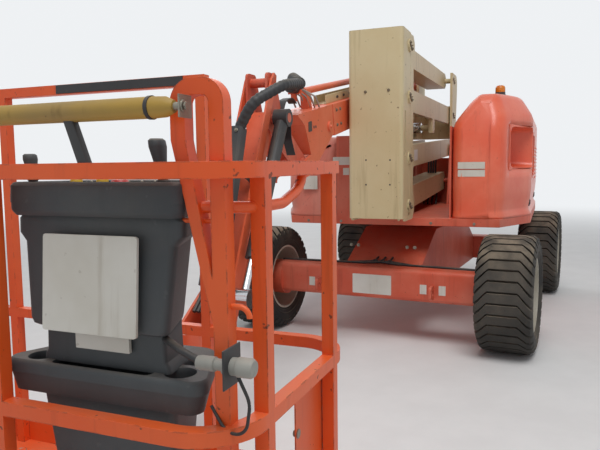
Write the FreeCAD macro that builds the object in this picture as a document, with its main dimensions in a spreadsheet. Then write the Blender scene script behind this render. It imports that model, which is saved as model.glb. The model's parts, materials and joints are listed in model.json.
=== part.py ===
"""Articulating boom lift: rough terrain chassis, riser tower, telescopic boom, jib and work platform.

Millimetres and degrees. +X runs from the counterweight to the platform, +Y to the engine side, +Z up.
The origin is on the ground under the middle of the machine. Most pieces are drawn in the turntable's
frame, whose X and Y are zero on the swing axis. Each arm is drawn along its own X from its rear pin.
"""
import FreeCAD, Part
import math
import os
import Sketcher

doc = FreeCAD.newDocument("BoomLift")
sheet = doc.addObject("Spreadsheet::Sheet", "Sheet")

# Driving dimensions: name, value, what it is
SIZES = [
    ("slack", 0.3, "gap between faces that run on each other"),
    ("swing_rest_deg", 4, "how far the turntable stands swung on its chassis"),
    ("wheel_base", 2340, "between the axles"),
    ("tyre_dia", 840, "outside the lugs"),
    ("tyre_width", 390, "over the side walls"),
    ("lug_height", 26, "lug above the tread"),
    ("lug_count", 34, "lugs round a tyre"),
    ("lug_width", 62, "lug along the tread"),
    ("tread_width", 270, "flat part of the tread"),
    ("wall_slope_deg", 16, "side wall's fall from the tyre's middle"),
    ("track_width", 1950, "between the tyre centres of one axle"),
    ("rim_dia", 524, "bead seat of the rim"),
    ("rim_width", 340, "over the rim's edges"),
    ("rim_wall", 14, "rim's barrel"),
    ("rim_dish", 30, "wheel disc outside the tyre's centre"),
    ("disc_wall", 20, "wheel disc"),
    ("hub_dia", 230, "hub cap on the wheel disc"),
    ("hub_height", 70, "hub cap outside the disc"),
    ("beam_height", 240, "axle beam"),
    ("beam_depth", 220, "axle beam, along the machine"),
    ("beam_low", 320, "under side of the beam above the ground"),
    ("beam_length", 1580, "fixed axle over its flanges"),
    ("hub_motor_dia", 280, "drive hub at the end of the fixed axle"),
    ("kingpin_gap", 1360, "between the kingpins"),
    ("kingpin_dia", 60, "kingpin"),
    ("knuckle_dia", 116, "knuckle barrel round the kingpin"),
    ("spindle_dia", 100, "steered wheel's spindle"),
    ("yoke_wall", 40, "each yoke plate of the steering axle"),
    ("yoke_reach", 60, "yoke beyond the kingpin"),
    ("yoke_root", 120, "kingpin to the end of the beam"),
    ("steer_arm", 180, "kingpin to the tie link, along the machine"),
    ("steer_arm_wall", 30, "steering arm's plate"),
    ("tie_dia", 50, "tie link's tube"),
    ("lug_gap", 900, "between the tie-down lugs"),
    ("lug_wall", 20, "tie-down lug's plate"),
    ("lug_hole_dia", 36, "hole in the tie-down lug"),
    ("lug_reach", 80, "tie-down lug in front of the beam"),
    ("lug_tall", 100, "tie-down lug's height"),
    ("box_width", 620, "chassis box between the wheels"),
    ("box_top", 800, "chassis deck above the ground"),
    ("deck_half", 600, "half of the flat deck, along the machine"),
    ("bearing_dia", 760, "swing bearing"),
    ("bearing_height", 60, "swing bearing above the deck"),
    ("pan_rear", 960, "turntable's rear edge behind the swing axis"),
    ("pan_front", 1070, "turntable's front edge before the swing axis"),
    ("pan_left", 1050, "turntable's edge on the tank side"),
    ("pan_right", 1000, "turntable's edge on the engine side"),
    ("pan_wall", 60, "turntable's floor"),
    ("pan_lift", 8, "floor above the swing bearing"),
    ("corner_cut", 200, "front corner of the turntable, across"),
    ("corner_run", 460, "front corner of the turntable, along"),
    ("weight_rear", 1170, "counterweight's tail behind the swing axis"),
    ("weight_top", 1400, "counterweight's top above the ground"),
    ("weight_half", 860, "half of the counterweight's width"),
    ("weight_corner", 120, "counterweight's rounded corners"),
    ("engine_length", 700, "engine block"),
    ("engine_width", 440, "engine block"),
    ("engine_height", 560, "engine block"),
    ("engine_front", 100, "engine block's front before the swing axis"),
    ("hood_wall", 12, "hood shell"),
    ("hood_gap", 20, "hood to the counterweight"),
    ("tall_inner", 450, "inner side of the engine hood"),
    ("tall_shoulder", 1660, "engine hood's inner shoulder"),
    ("tall_top", 1860, "engine hood's top"),
    ("tall_crown_in", 610, "where the engine hood's top begins"),
    ("tall_crown_out", 900, "where the engine hood's top ends"),
    ("tall_eave", 1700, "engine hood's outer shoulder"),
    ("hood_round", 80, "rounded folds of the hoods"),
    ("low_inner", 260, "inner side of the tank hood"),
    ("low_top", 1570, "tank hood's top"),
    ("low_eave", 1450, "tank hood's outer shoulder"),
    ("low_crown", 900, "where the tank hood's top ends"),
    ("low_hinge", 470, "tank hood's hinge line from the centre line"),
    ("hinge_dia", 16, "hood hinges"),
    ("hood_seam", 14, "tank hood to its fixed strip"),
    ("beacon_dia", 90, "amber beacon"),
    ("beacon_height", 90, "amber beacon"),
    ("panel_length", 420, "ground control panel, along the machine"),
    ("panel_height", 300, "ground control panel"),
    ("panel_depth", 60, "recess of the ground controls"),
    ("panel_low", 1240, "lower edge of the ground controls"),
    ("panel_front", 420, "ground controls' front edge before the swing axis"),
    ("tower_rear", 850, "rear pins behind the swing axis"),
    ("tower_front", 1375, "upright's pins before the swing axis"),
    ("lower_rear_z", 1165, "lower arm's rear pin"),
    ("lower_front_z", 1045, "lower arm's front pin"),
    ("lower_rise", 342, "lower link above the lower arm"),
    ("upper_front_z", 1815, "upper link's front pin"),
    ("upper_rear_z", 1835, "upper link's rear pin"),
    ("upper_rise", 357, "upper arm above the upper link"),
    ("tower_width", 390, "upright over its side plates"),
    ("plate_wall", 12, "upright's side plates"),
    ("arm_width", 190, "tower arms"),
    ("arm_wall", 8, "walls of the tower arms"),
    ("lower_arm_tall", 180, "lower arm"),
    ("upper_arm_tall", 150, "upper arm"),
    ("link_tall", 170, "tower link bars"),
    ("link_wall", 40, "each tower link bar"),
    ("link_inner", 110, "tower link bars from the centre line"),
    ("pin_dia", 50, "tower pins"),
    ("eye_wall", 22, "tube round a pin"),
    ("tip_reach", 60, "arm beyond its pin"),
    ("head_dia", 90, "pin head"),
    ("head_wall", 10, "pin head"),
    ("upright_front", 1575, "front face of the upright"),
    ("upright_depth", 250, "upright, along the machine"),
    ("upright_face", 30, "front wall of the upright"),
    ("upright_cap", 98, "upright above its top pin"),
    ("upright_toe", 85, "upright below its bottom pin"),
    ("upright_fold", 28, "rounded folds of the upright"),
    ("slot_x", 1500, "slot in the upright's side plates"),
    ("slot_low", 1395, "slot's lower end"),
    ("slot_high", 1715, "slot's upper end"),
    ("slot_wide", 22, "slot in the upright's side plates"),
    ("tower_ram_x", 1335, "tower cylinder's pin on the upright"),
    ("tower_ram_z", 1560, "tower cylinder's pin on the upright"),
    ("tower_eye_x", 122, "tower rod's eye under the upper link"),
    ("tower_eye_z", 1665, "tower rod's eye under the upper link"),
    ("mount_wall", 24, "plates of the boom mount and the turntable's tower foot"),
    ("mount_inner", 160, "tower foot's and boom mount's plates from the centre line"),
    ("mount_low", 1600, "boom mount's lower edge"),
    ("boom_side", 320, "boom's centre line beside the tower's"),
    ("boom_pivot_x", 1000, "boom's pivot behind the swing axis"),
    ("boom_pivot_z", 2155, "boom's pivot above the ground"),
    ("boom_slope_deg", 10.3, "boom's fall to its nose at rest"),
    ("boom_width", 200, "main boom"),
    ("boom_tall", 210, "main boom"),
    ("boom_wall", 8, "main boom"),
    ("boom_length", 2860, "main boom from its pivot"),
    ("boom_tail", 100, "main boom behind its pivot"),
    ("boom_pin_dia", 60, "main boom's pivot pin"),
    ("pad_length", 80, "slide pads"),
    ("fly_width", 150, "fly boom"),
    ("fly_tall", 170, "fly boom"),
    ("fly_wall", 6, "fly boom"),
    ("fly_start", 300, "fly boom's rear end from the pivot, retracted"),
    ("nose_gap", 20, "nose weldment before the main boom's end, retracted"),
    ("nose_length", 628, "nose weldment along its top"),
    ("nose_reach", 520, "jib base's pin before the nose weldment's rear end"),
    ("nose_drop", 215, "jib base's pin below the boom's centre line"),
    ("nose_wall", 15, "nose weldment's cheeks"),
    ("boom_ram_x", 900, "main cylinder's pin behind the swing axis"),
    ("boom_ram_z", 1690, "main cylinder's pin above the ground"),
    ("boom_lug_at", 1300, "main rod's eye along the boom"),
    ("boom_lug_drop", 185, "main rod's eye below the boom's centre line"),
    ("track_start", 1500, "push tube's rear end along the boom"),
    ("push_tube_dia", 45, "push tube of the hoses"),
    ("push_tube_reach", 256, "push tube's end before the nose weldment's rear end"),
    ("push_tube_up", 215, "push tube above the boom's centre line"),
    ("tray_width", 90, "hose tray on the boom"),
    ("tray_tall", 60, "hose tray on the boom"),
    ("base_pin_x", 2745, "jib arm's pin before the swing axis"),
    ("base_pin_z", 1595, "jib arm's pin above the ground"),
    ("jib_slope_deg", 65, "jib's fall at rest"),
    ("jib_length", 1175, "jib arm between its pins"),
    ("jib_width", 100, "jib arm"),
    ("jib_tall", 100, "jib arm"),
    ("jib_wall", 6, "jib arm"),
    ("jib_rise", 190, "jib link's pin above the arm's"),
    ("cheek_wall", 14, "cheeks of the jib base and jib end"),
    ("bar_wall", 12, "jib link's bars"),
    ("bar_tall", 60, "jib link's bars"),
    ("bar_gap", 5, "jib link's bars to the cheeks"),
    ("jib_ram_side", 128, "jib cylinder beside the jib"),
    ("rotator_x", 3560, "platform rotator before the swing axis"),
    ("rotator_dia", 180, "platform rotator"),
    ("rotator_top", 640, "top of the rotator above the ground"),
    ("rotator_low", 440, "under side of the rotator's housing"),
    ("platform_front", 4800, "platform's front rail before the swing axis"),
    ("platform_depth", 760, "platform, along the machine"),
    ("platform_width", 1830, "platform, across the machine"),
    ("floor_low", 250, "platform floor above the ground"),
    ("floor_wall", 40, "platform floor's frame"),
    ("deck_wall", 4, "deck plate on the floor's frame"),
    ("deck_inset", 70, "deck plate inside the floor's edges"),
    ("rail_size", 34, "platform's square tube"),
    ("rail_top", 1355, "top of the platform's top rail"),
    ("rail_step", 537, "mid rail below the top rail"),
    ("rail_corner", 150, "corners of the platform's rails"),
    ("toe_tall", 110, "toe board"),
    ("toe_wall", 6, "toe board"),
    ("raised_top", 1635, "raised rail behind the operator"),
    ("raised_half", 420, "half of the raised rail's width"),
    ("front_half", 300, "front posts from the platform's middle"),
    ("hoop_x", 4720, "hoop beside the console"),
    ("hoop_side", 853, "hoop's post beside the platform's middle"),
    ("hoop_wide", 122, "hoop over its tube"),
    ("hoop_top", 1520, "hoop's top above the ground"),
    ("hoop_foot", 1020, "where the hoop's leg meets its post"),
    ("hoop_bend", 50, "hoop's rounded corners"),
    ("bar_dia", 45, "yellow guard bar"),
    ("bar_up", 1460, "guard bar above the ground"),
    ("bar_half", 330, "half of the guard bar's length"),
    ("bar_side", 440, "guard bar's middle beside the platform's"),
    ("console_side", 488, "console's middle beside the platform's"),
    ("console_width", 430, "platform console"),
    ("console_taper", 36, "console's sides drawn in at its foot"),
    ("neck_width", 250, "neck between the console and its tray"),
    ("cup_dia", 78, "cup holes of the storage tray"),
    ("console_top", 1315, "console's lid above the ground"),
    ("console_low", 1035, "console's under side above the ground"),
    ("console_depth", 250, "console, along the machine"),
    ("console_lid", 75, "console's tray"),
    ("tray_low", 880, "storage tray's under side above the ground"),
    ("storage_tall", 95, "storage tray"),
    ("gate_gap", 12, "entry gate to its posts and rails"),
    ("gate_barrel", 24, "entry gate's hinge barrels"),
    ("foot_reach", 35, "tower foot above its upper pin"),
]


class Size:
    """A number with the expression that works it out from the sheet."""

    def __init__(self, number, text):
        self.number = float(number)
        self.text = text

    def __add__(self, other):
        other = size(other)
        return Size(self.number + other.number, f"({self.text} + {other.text})")

    def __sub__(self, other):
        other = size(other)
        return Size(self.number - other.number, f"({self.text} - {other.text})")

    def __mul__(self, other):
        other = size(other)
        return Size(self.number * other.number, f"({self.text} * {other.text})")

    def __truediv__(self, other):
        other = size(other)
        return Size(self.number / other.number, f"({self.text} / {other.text})")

    def __neg__(self):
        return Size(-self.number, f"(-1 * {self.text})")

    __radd__ = __add__

    def __rmul__(self, other):
        return self * other

    def __rsub__(self, other):
        return size(other) - self


def size(value):
    """Wrap a bare number as a Size."""
    return value if isinstance(value, Size) else Size(value, repr(value))


def sine(angle):
    return Size(math.sin(math.radians(angle.number)), f"sin({angle.text})")


def cosine(angle):
    return Size(math.cos(math.radians(angle.number)), f"cos({angle.text})")


def arctangent(rise, run):
    return Size(math.degrees(math.atan2(rise.number, run.number)), f"atan2({rise.text}; {run.text})")


def span(across, up):
    """Distance between two points from their differences."""
    return Size(math.hypot(across.number, up.number), f"sqrt({across.text}^2 + {up.text}^2)")


class Sizes:
    """Every driving dimension by its name."""


one = Sizes()
for row, (name, value, note) in enumerate(SIZES, start=1):
    sheet.set(f"A{row}", name)
    sheet.set(f"B{row}", str(value))
    sheet.set(f"C{row}", note)
    sheet.setAlias(f"B{row}", name)
    setattr(one, name, Size(value, f"Sheet.{name}"))
doc.recompute()

PLANES = {"XY": ("XY_Plane", 1), "XZ": ("XZ_Plane", -1), "YZ": ("YZ_Plane", 1)}
nodes = []


class Piece:
    """One sub-part: a body drawn in its own frame and seated in the part's frame."""

    def __init__(self, label):
        self.body = doc.addObject("PartDesign::Body", label)
        self.body.Label = label
        nodes.append(self.body)

    def origin(self, role):
        for feature in self.body.Origin.OriginFeatures:
            if feature.Role == role:
                return feature
        raise ValueError(role)

    def sketch(self, plane, at):
        """A sketch on one of the body's planes, at a distance along the plane's axis."""
        role, sign = PLANES[plane]
        drawing = self.body.newObject("Sketcher::SketchObject", "Outline")
        drawing.AttachmentSupport = [(self.origin(role), "")]
        drawing.MapMode = "FlatFace"
        at = size(at) * sign
        drawing.setExpression("AttachmentOffset.Base.z", at.text)
        return drawing

    def feature(self, kind, drawing, thick):
        made = self.body.newObject(kind, kind.split("::")[1])
        made.Profile = drawing
        made.SideType = "Symmetric"
        made.setExpression("Length", size(thick).text)
        self.last = made
        return self

    def pad(self, plane, points, thick, at=0):
        """Add a slab with this outline, thick across the plane and centred at a distance along it."""
        drawing = self.sketch(plane, at)
        outline(drawing, points)
        return self.feature("PartDesign::Pad", drawing, thick)

    def cut(self, plane, points, thick, at=0):
        """Take such a slab away."""
        drawing = self.sketch(plane, at)
        outline(drawing, points)
        return self.feature("PartDesign::Pocket", drawing, thick)

    def disc(self, plane, centre, dia, thick, at=0):
        drawing = self.sketch(plane, at)
        ring(drawing, centre, dia)
        return self.feature("PartDesign::Pad", drawing, thick)

    def bore(self, plane, centre, dia, thick, at=0):
        drawing = self.sketch(plane, at)
        ring(drawing, centre, dia)
        return self.feature("PartDesign::Pocket", drawing, thick)

    def turned(self, plane, points, axis):
        """Revolve an outline about an axis of the body's frame."""
        drawing = self.sketch(plane, 0)
        outline(drawing, points)
        made = self.body.newObject("PartDesign::Revolution", "Revolution")
        made.Profile = drawing
        made.ReferenceAxis = (self.origin(axis), [""])
        made.Angle = 360
        return self

    def tapered(self, angle):
        """Let the last slab's edge fall in from its middle plane."""
        self.last.setExpression("TaperAngle", f"(-1 * {size(angle).text})")
        self.last.setExpression("TaperAngle2", f"(-1 * {size(angle).text})")
        return self

    def around(self, count, axis):
        """Repeat the last slab round an axis of the body's frame."""
        pattern = self.body.newObject("PartDesign::PolarPattern", "Round")
        pattern.Originals = [self.last]
        pattern.Axis = (self.origin(axis), [""])
        pattern.Angle = 360
        pattern.setExpression("Occurrences", size(count).text)
        self.body.Tip = pattern
        return self

    def seat(self, x, y, z, about=(0, 1, 0), turn=0):
        """Place the body's frame in the part's frame."""
        self.body.Placement = FreeCAD.Placement(
            FreeCAD.Vector(0, 0, 0), FreeCAD.Rotation(FreeCAD.Vector(*about), 30))
        for letter, value in zip("xyz", (x, y, z)):
            self.body.setExpression(f"Placement.Base.{letter}", size(value).text)
        self.body.setExpression("Placement.Rotation.Angle", size(turn).text)
        return self


def fix(drawing, item, end, point):
    """Hold one end of a line at a point, by its two distances from the sketch's origin."""
    for kind, value in (("DistanceX", size(point[0])), ("DistanceY", size(point[1]))):
        index = drawing.addConstraint(Sketcher.Constraint(kind, -1, 1, item, end, value.number))
        drawing.setExpression(f"Constraints[{index}]", value.text)


def outline(drawing, points):
    """Closed outline through the points. A third value rounds that corner with its radius."""
    count = len(points)
    places = [FreeCAD.Vector(size(p[0]).number, size(p[1]).number, 0) for p in points]
    starts, ends, arcs = list(places), list(places), {}
    for i, point in enumerate(points):
        if len(point) < 3:
            continue
        back = (places[i - 1] - places[i]).normalize()
        ahead = (places[(i + 1) % count] - places[i]).normalize()
        half = back.getAngle(ahead) / 2
        radius = size(point[2]).number
        reach = radius / math.tan(half)
        ends[i] = places[i] + back * reach
        starts[i] = places[i] + ahead * reach
        middle = (back + ahead).normalize()
        centre = places[i] + middle * (radius / math.sin(half))
        arcs[i] = (ends[i], centre - middle * radius, starts[i])
    for i in range(count):
        drawing.addGeometry(Part.LineSegment(starts[i], ends[(i + 1) % count]), False)
    for i, point in enumerate(points):
        if i not in arcs:
            drawing.addConstraint(Sketcher.Constraint("Coincident", (i - 1) % count, 2, i, 1))
            fix(drawing, i, 1, point)
            continue
        arc = drawing.addGeometry(Part.Arc(*arcs[i]), False)
        curve = drawing.Geometry[arc]
        first = 1 if (curve.StartPoint - ends[i]).Length < (curve.EndPoint - ends[i]).Length else 2
        drawing.addConstraint(Sketcher.Constraint("Tangent", (i - 1) % count, 2, arc, first))
        drawing.addConstraint(Sketcher.Constraint("Tangent", arc, 3 - first, i, 1))
        index = drawing.addConstraint(Sketcher.Constraint("Radius", arc, size(point[2]).number))
        drawing.setExpression(f"Constraints[{index}]", size(point[2]).text)
        corner = drawing.addGeometry(Part.Point(places[i]), True)
        drawing.addConstraint(Sketcher.Constraint("PointOnObject", corner, 1, (i - 1) % count))
        drawing.addConstraint(Sketcher.Constraint("PointOnObject", corner, 1, i))
        fix(drawing, corner, 1, point)


def ring(drawing, centre, dia):
    """A full circle."""
    x, y, dia = size(centre[0]), size(centre[1]), size(dia)
    place = FreeCAD.Vector(x.number, y.number, 0)
    circle = drawing.addGeometry(Part.Circle(place, FreeCAD.Vector(0, 0, 1), dia.number / 2), False)
    fix(drawing, circle, 3, (x, y))
    index = drawing.addConstraint(Sketcher.Constraint("Diameter", circle, dia.number))
    drawing.setExpression(f"Constraints[{index}]", dia.text)


def box(x0, x1, y0, y1, r=None):
    """A rectangle's corners."""
    corners = [(x0, y0), (x1, y0), (x1, y1), (x0, y1)]
    return corners if r is None else [(x, y, r) for x, y in corners]


# Places worked out from the driving dimensions
axle_x = one.wheel_base / 2
wheel_y = one.track_width / 2
wheel_z = one.tyre_dia / 2
beam_mid = one.beam_low + one.beam_height / 2
tyre_edge = wheel_y + one.tyre_width / 2
tail = (axle_x + wheel_z) * cosine(one.swing_rest_deg) + tyre_edge * sine(one.swing_rest_deg)
swing_x = (tail - one.platform_front) / 2
boom_y = -one.boom_side
nose_start = one.boom_length + one.nose_gap
nose_pin = nose_start + one.nose_reach
pan_low = one.box_top + one.bearing_height + one.pan_lift
pan_top = pan_low + one.pan_wall
kingpin_y = one.kingpin_gap / 2
tower_run = one.tower_rear + one.tower_front
lower_slope = arctangent(one.lower_rear_z - one.lower_front_z, tower_run)
lower_length = span(tower_run, one.lower_rear_z - one.lower_front_z)
upper_slope = arctangent(one.upper_front_z - one.upper_rear_z, tower_run)
upper_length = span(tower_run, one.upper_front_z - one.upper_rear_z)
pin_bore = one.pin_dia + 2 * one.slack
eye_dia = one.pin_dia + 2 * one.eye_wall


def on_turntable(piece, x=0, y=0, z=0, turn=0):
    """Seat a piece that stands with the turntable, by its place from the swing axis."""
    return piece.seat(swing_x + x, y, z, turn=turn)


def on_chassis(piece, x=0, y=0, z=0):
    """Seat a piece that stands with the chassis, which is turned under the turntable."""
    turn = one.swing_rest_deg
    across = size(x) * cosine(turn) + size(y) * sine(turn)
    aside = size(y) * cosine(turn) - size(x) * sine(turn)
    return piece.seat(swing_x + across, aside, z, about=(0, 0, 1), turn=-turn)


def chassis_frame():
    """Box between the axles, with the deck and the swing bearing."""
    end = axle_x - one.beam_depth / 2
    beam_top = one.beam_low + one.beam_height
    side = [(-end, one.beam_low), (end, one.beam_low), (end, beam_top), (one.deck_half, one.box_top),
            (-one.deck_half, one.box_top), (-end, beam_top)]
    piece = Piece("chassis_frame").pad("XZ", side, one.box_width)
    bearing_mid = one.box_top + one.bearing_height / 2
    piece.disc("XY", (0, 0), one.bearing_dia, one.bearing_height, bearing_mid)
    on_chassis(piece)


def beam_section(middle):
    low, top = one.beam_low, one.beam_low + one.beam_height
    return box(middle - one.beam_depth / 2, middle + one.beam_depth / 2, low, top, one.rail_size)


def fixed_axle():
    """Beam of the driven axle, its drive hubs and two tie-down lugs."""
    piece = Piece("fixed_axle").pad("XZ", beam_section(axle_x), one.beam_length)
    face, flange = wheel_y + one.rim_dish - one.slack, one.beam_length / 2
    for side in (-1, 1):
        piece.disc("XZ", (axle_x, wheel_z), one.hub_motor_dia, face - flange, side * (face + flange) / 2)
    front = axle_x + one.beam_depth / 2
    tip = front + one.lug_reach
    low = one.beam_low + one.rail_size
    high, round_off = low + one.lug_tall, one.lug_reach / 3
    root = front - one.lug_wall
    lug = [(root, low), (tip, low, round_off), (tip, high, round_off), (root, high)]
    for side in (-1, 1):
        middle = side * one.lug_gap / 2
        piece.pad("XZ", lug, one.lug_wall, middle)
        hole = (tip - one.lug_reach / 2, low + one.lug_tall / 2)
        piece.bore("XZ", hole, one.lug_hole_dia, 2 * one.lug_wall, middle)
    on_chassis(piece)


def steer_axle():
    """Beam of the steered axle with a yoke round each kingpin."""
    root = kingpin_y - one.yoke_root
    piece = Piece("steer_axle").pad("XZ", beam_section(-axle_x), 2 * root)
    top = one.beam_low + one.beam_height
    for side in (-1, 1):
        inner, outer = side * root, side * (kingpin_y + one.yoke_reach)
        plate = box(-axle_x - one.knuckle_dia / 2, -axle_x + one.knuckle_dia / 2, inner, outer)
        for middle in (one.beam_low + one.yoke_wall / 2, top - one.yoke_wall / 2):
            piece.pad("XY", plate, one.yoke_wall, middle)
        bore = one.kingpin_dia + 2 * one.slack
        piece.bore("XY", (-axle_x, side * kingpin_y), bore, 2 * one.beam_height, beam_mid)
    on_chassis(piece)


def knuckle(label, side):
    """Kingpin, spindle and steering arm of one steered wheel, drawn from its kingpin."""
    tall = one.beam_height - 2 * one.yoke_wall - 2 * one.slack
    piece = Piece(label).disc("XY", (0, 0), one.knuckle_dia, tall, 0)
    piece.disc("XY", (0, 0), one.kingpin_dia, one.beam_height, 0)
    reach = wheel_y - kingpin_y + one.rim_dish - one.slack
    centre = wheel_z - beam_mid
    piece.disc("XZ", (0, centre), one.spindle_dia, reach, side * reach / 2)
    half = one.tie_dia / 2
    piece.pad("XY", box(-one.steer_arm, 0, -half, half), one.steer_arm_wall)
    piece.disc("XY", (-one.steer_arm, 0), one.tie_dia, one.steer_arm_wall)
    on_chassis(piece, -axle_x, side * kingpin_y, beam_mid)


def steer_link():
    """Tie link behind the steered axle, resting on both steering arms."""
    lift = beam_mid + one.steer_arm_wall / 2 + one.slack + one.tie_dia / 2
    along = -axle_x - one.steer_arm
    piece = Piece("steer_link").disc("XZ", (along, lift), one.tie_dia, one.kingpin_gap + one.tie_dia)
    on_chassis(piece)


def polygon(reach, count):
    """Corners of a regular polygon whose flats lie at this reach from its centre."""
    step = size(360) / count
    corner = size(reach) / cosine(step / 2)
    turns = [step * (k + 0.5) for k in range(int(count.number))]
    return [(corner * cosine(turn), corner * sine(turn)) for turn in turns]


def tyre(label, x, y):
    """Tyre with one flat under each lug of its tread, and its bead on the rim."""
    crown = one.tyre_dia / 2
    tread, count = crown - one.lug_height, one.lug_count
    piece = Piece(label).pad("XZ", polygon(tread, count), one.tyre_width).tapered(one.wall_slope_deg)
    piece.pad("XZ", polygon(tread, count), one.tread_width)
    base, top = one.lug_width / 2, one.lug_width * 0.44
    root, tip = tread - one.lug_height, crown - one.slack * 4
    piece.pad("XZ", [(-base, root), (base, root), (top, tip), (-top, tip)], one.tyre_width * 0.94)
    piece.around(count, "Y_Axis")
    piece.cut("XZ", polygon(one.rim_dia / 2, count), 2 * one.tyre_width)
    on_chassis(piece, x, y, wheel_z)


def rim(label, x, y, side):
    """Rim barrel with its wheel disc and hub cap."""
    edge, bead = one.rim_width / 2, one.rim_dia / 2 - one.slack
    inner = bead - one.rim_wall
    disc_in, disc_out = one.rim_dish * side, (one.rim_dish + one.disc_wall) * side
    cap = disc_out + one.hub_height * side
    section = [(-edge, bead), (-edge, inner), (disc_in, inner), (disc_in, 0), (cap, 0), (cap, one.hub_dia / 2),
               (disc_out, one.hub_dia / 2), (disc_out, inner), (edge, inner), (edge, bead)]
    if side < 0:
        section = [(edge, bead), (edge, inner)] + section[2:8] + [(-edge, inner), (-edge, bead)]
    on_chassis(Piece(label).turned("YZ", section, "Y_Axis"), x, y, wheel_z)


def wheels():
    """Four wheels: name, axle's place, side."""
    for place, along in (("fixed", axle_x), ("steer", -axle_x)):
        for hand, side in (("left", -1), ("right", 1)):
            tyre(f"tyre_{place}_{hand}", along, side * wheel_y)
            rim(f"rim_{place}_{hand}", along, side * wheel_y, side)


def turntable_frame():
    """Floor of the turntable, its hub on the swing bearing and the foot of the tower."""
    left, right = -one.pan_left, one.pan_right
    corner = one.pan_front - one.corner_run
    plan = [(-one.pan_rear, left), (corner, left), (one.pan_front, left + one.corner_cut),
            (one.pan_front, right - one.corner_cut), (corner, right), (-one.pan_rear, right)]
    piece = Piece("turntable_frame").pad("XY", plan, one.pan_wall, pan_low + one.pan_wall / 2)
    hub = one.bearing_dia * 0.8
    piece.disc("XY", (0, 0), hub, one.pan_lift, pan_low - one.pan_lift / 2)
    head = one.lower_rear_z + one.lower_rise
    foot = [(-one.pan_rear, pan_top), (-one.tower_rear + 3 * one.head_dia, pan_top),
            (-one.tower_rear + one.head_dia, head), (-one.tower_rear + one.head_dia / 2, head + one.foot_reach),
            (-one.tower_rear - one.head_dia / 2, head + one.foot_reach), (-one.pan_rear, head)]
    for side in (-1, 1):
        piece.pad("XZ", foot, one.mount_wall, side * (one.mount_inner + one.mount_wall / 2))
    for level in (one.lower_rear_z, head):
        piece.disc("XZ", (-one.tower_rear, level), one.pin_dia, 2 * one.mount_inner + one.mount_wall)
    rear, front, wall = -one.pan_rear + one.hood_gap, one.pan_front, one.hood_wall
    bulkhead = box(rear, front - one.hood_gap, pan_top, one.tall_shoulder - 2 * one.hood_gap)
    piece.pad("XZ", bulkhead, wall, one.tall_inner - wall)
    inner, seam, top = -one.low_inner, one.hood_seam - one.low_hinge, one.low_top
    strip = [(inner, pan_top), (inner, top), (seam, top), (seam, top - wall), (inner - wall, top - wall),
             (inner - wall, pan_top)]
    piece.pad("YZ", strip, front - rear, (front + rear) / 2)
    for along in (rear + wall / 2, front - wall / 2):
        piece.pad("YZ", box(seam, inner, pan_top, top), wall, along)
    on_turntable(piece)


def counterweight():
    """Cast counterweight with rounded rear corners."""
    plan = [(-one.pan_rear, -one.weight_half), (-one.pan_rear, one.weight_half),
            (-one.weight_rear, one.weight_half - one.weight_corner, one.weight_corner),
            (-one.weight_rear, one.weight_corner - one.weight_half, one.weight_corner)]
    tall = one.weight_top - pan_low
    on_turntable(Piece("counterweight").pad("XY", plan, tall, pan_low + tall / 2))


def engine_block():
    """The engine, as one plain block on the turntable's floor."""
    rear = one.engine_front - one.engine_length
    inner = one.tall_inner + 2 * one.hood_wall
    plan = box(rear, one.engine_front, inner, inner + one.engine_width)
    on_turntable(Piece("engine_block").pad("XY", plan, one.engine_height, pan_top + one.engine_height / 2))


def hood_plan(inner, outer, side, inset):
    """The hollow's outline from above, open to the tower, with the swept outer front corner."""
    rear, front = -one.pan_rear + one.hood_gap + inset, one.pan_front - inset
    near, far = side * (inner - inset), side * (outer - inset)
    return [(rear, near), (front, near), (front, far - side * one.corner_cut),
            (front - one.corner_run, far), (rear, far)]


def hood(label, inner, outer, side, section):
    """Shell hood: a section along the machine, trimmed to its plan, open below and to the tower."""
    mid = (one.pan_front - one.pan_rear + one.hood_gap) / 2
    length = one.pan_front + one.pan_rear - one.hood_gap
    piece = Piece(label)
    piece.pad("YZ", section(0), length, mid)
    corner = [(one.pan_front, side * (outer - one.corner_cut)), (one.pan_front - one.corner_run, side * outer),
              (one.pan_front, side * outer)]
    tall = 2 * one.tall_top
    piece.cut("XY", corner, tall, one.tall_top)
    straight = one.pan_front - one.corner_run - one.hood_wall
    rear = -one.pan_rear + one.hood_gap + one.hood_wall
    piece.cut("YZ", section(one.hood_wall), straight - rear, (straight + rear) / 2)
    ceiling = one.low_eave - one.hood_wall
    floor = pan_top + one.slack
    piece.cut("XY", hood_plan(inner, outer, side, one.hood_wall), ceiling - floor, (ceiling + floor) / 2)
    return on_turntable(piece)


def tall_section(inset):
    low, top, outer = pan_top + one.slack, one.tall_top - inset, one.pan_right - inset
    r = one.hood_round - inset
    return [(one.tall_inner - inset, low), (one.tall_inner - inset, one.tall_shoulder - 3 * inset),
            (one.tall_crown_in + inset / 2, top, r), (one.tall_crown_out - inset, top, r),
            (outer, one.tall_eave - inset), (outer, low)]


def low_section(inset):
    low = pan_top + one.slack
    r = one.hood_round - inset
    return [(inset - one.low_hinge, low), (inset - one.low_hinge, one.low_top - inset),
            (-one.low_crown, one.low_top - inset, r), (inset - one.pan_left, one.low_eave - inset, r),
            (inset - one.pan_left, low)]


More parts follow.
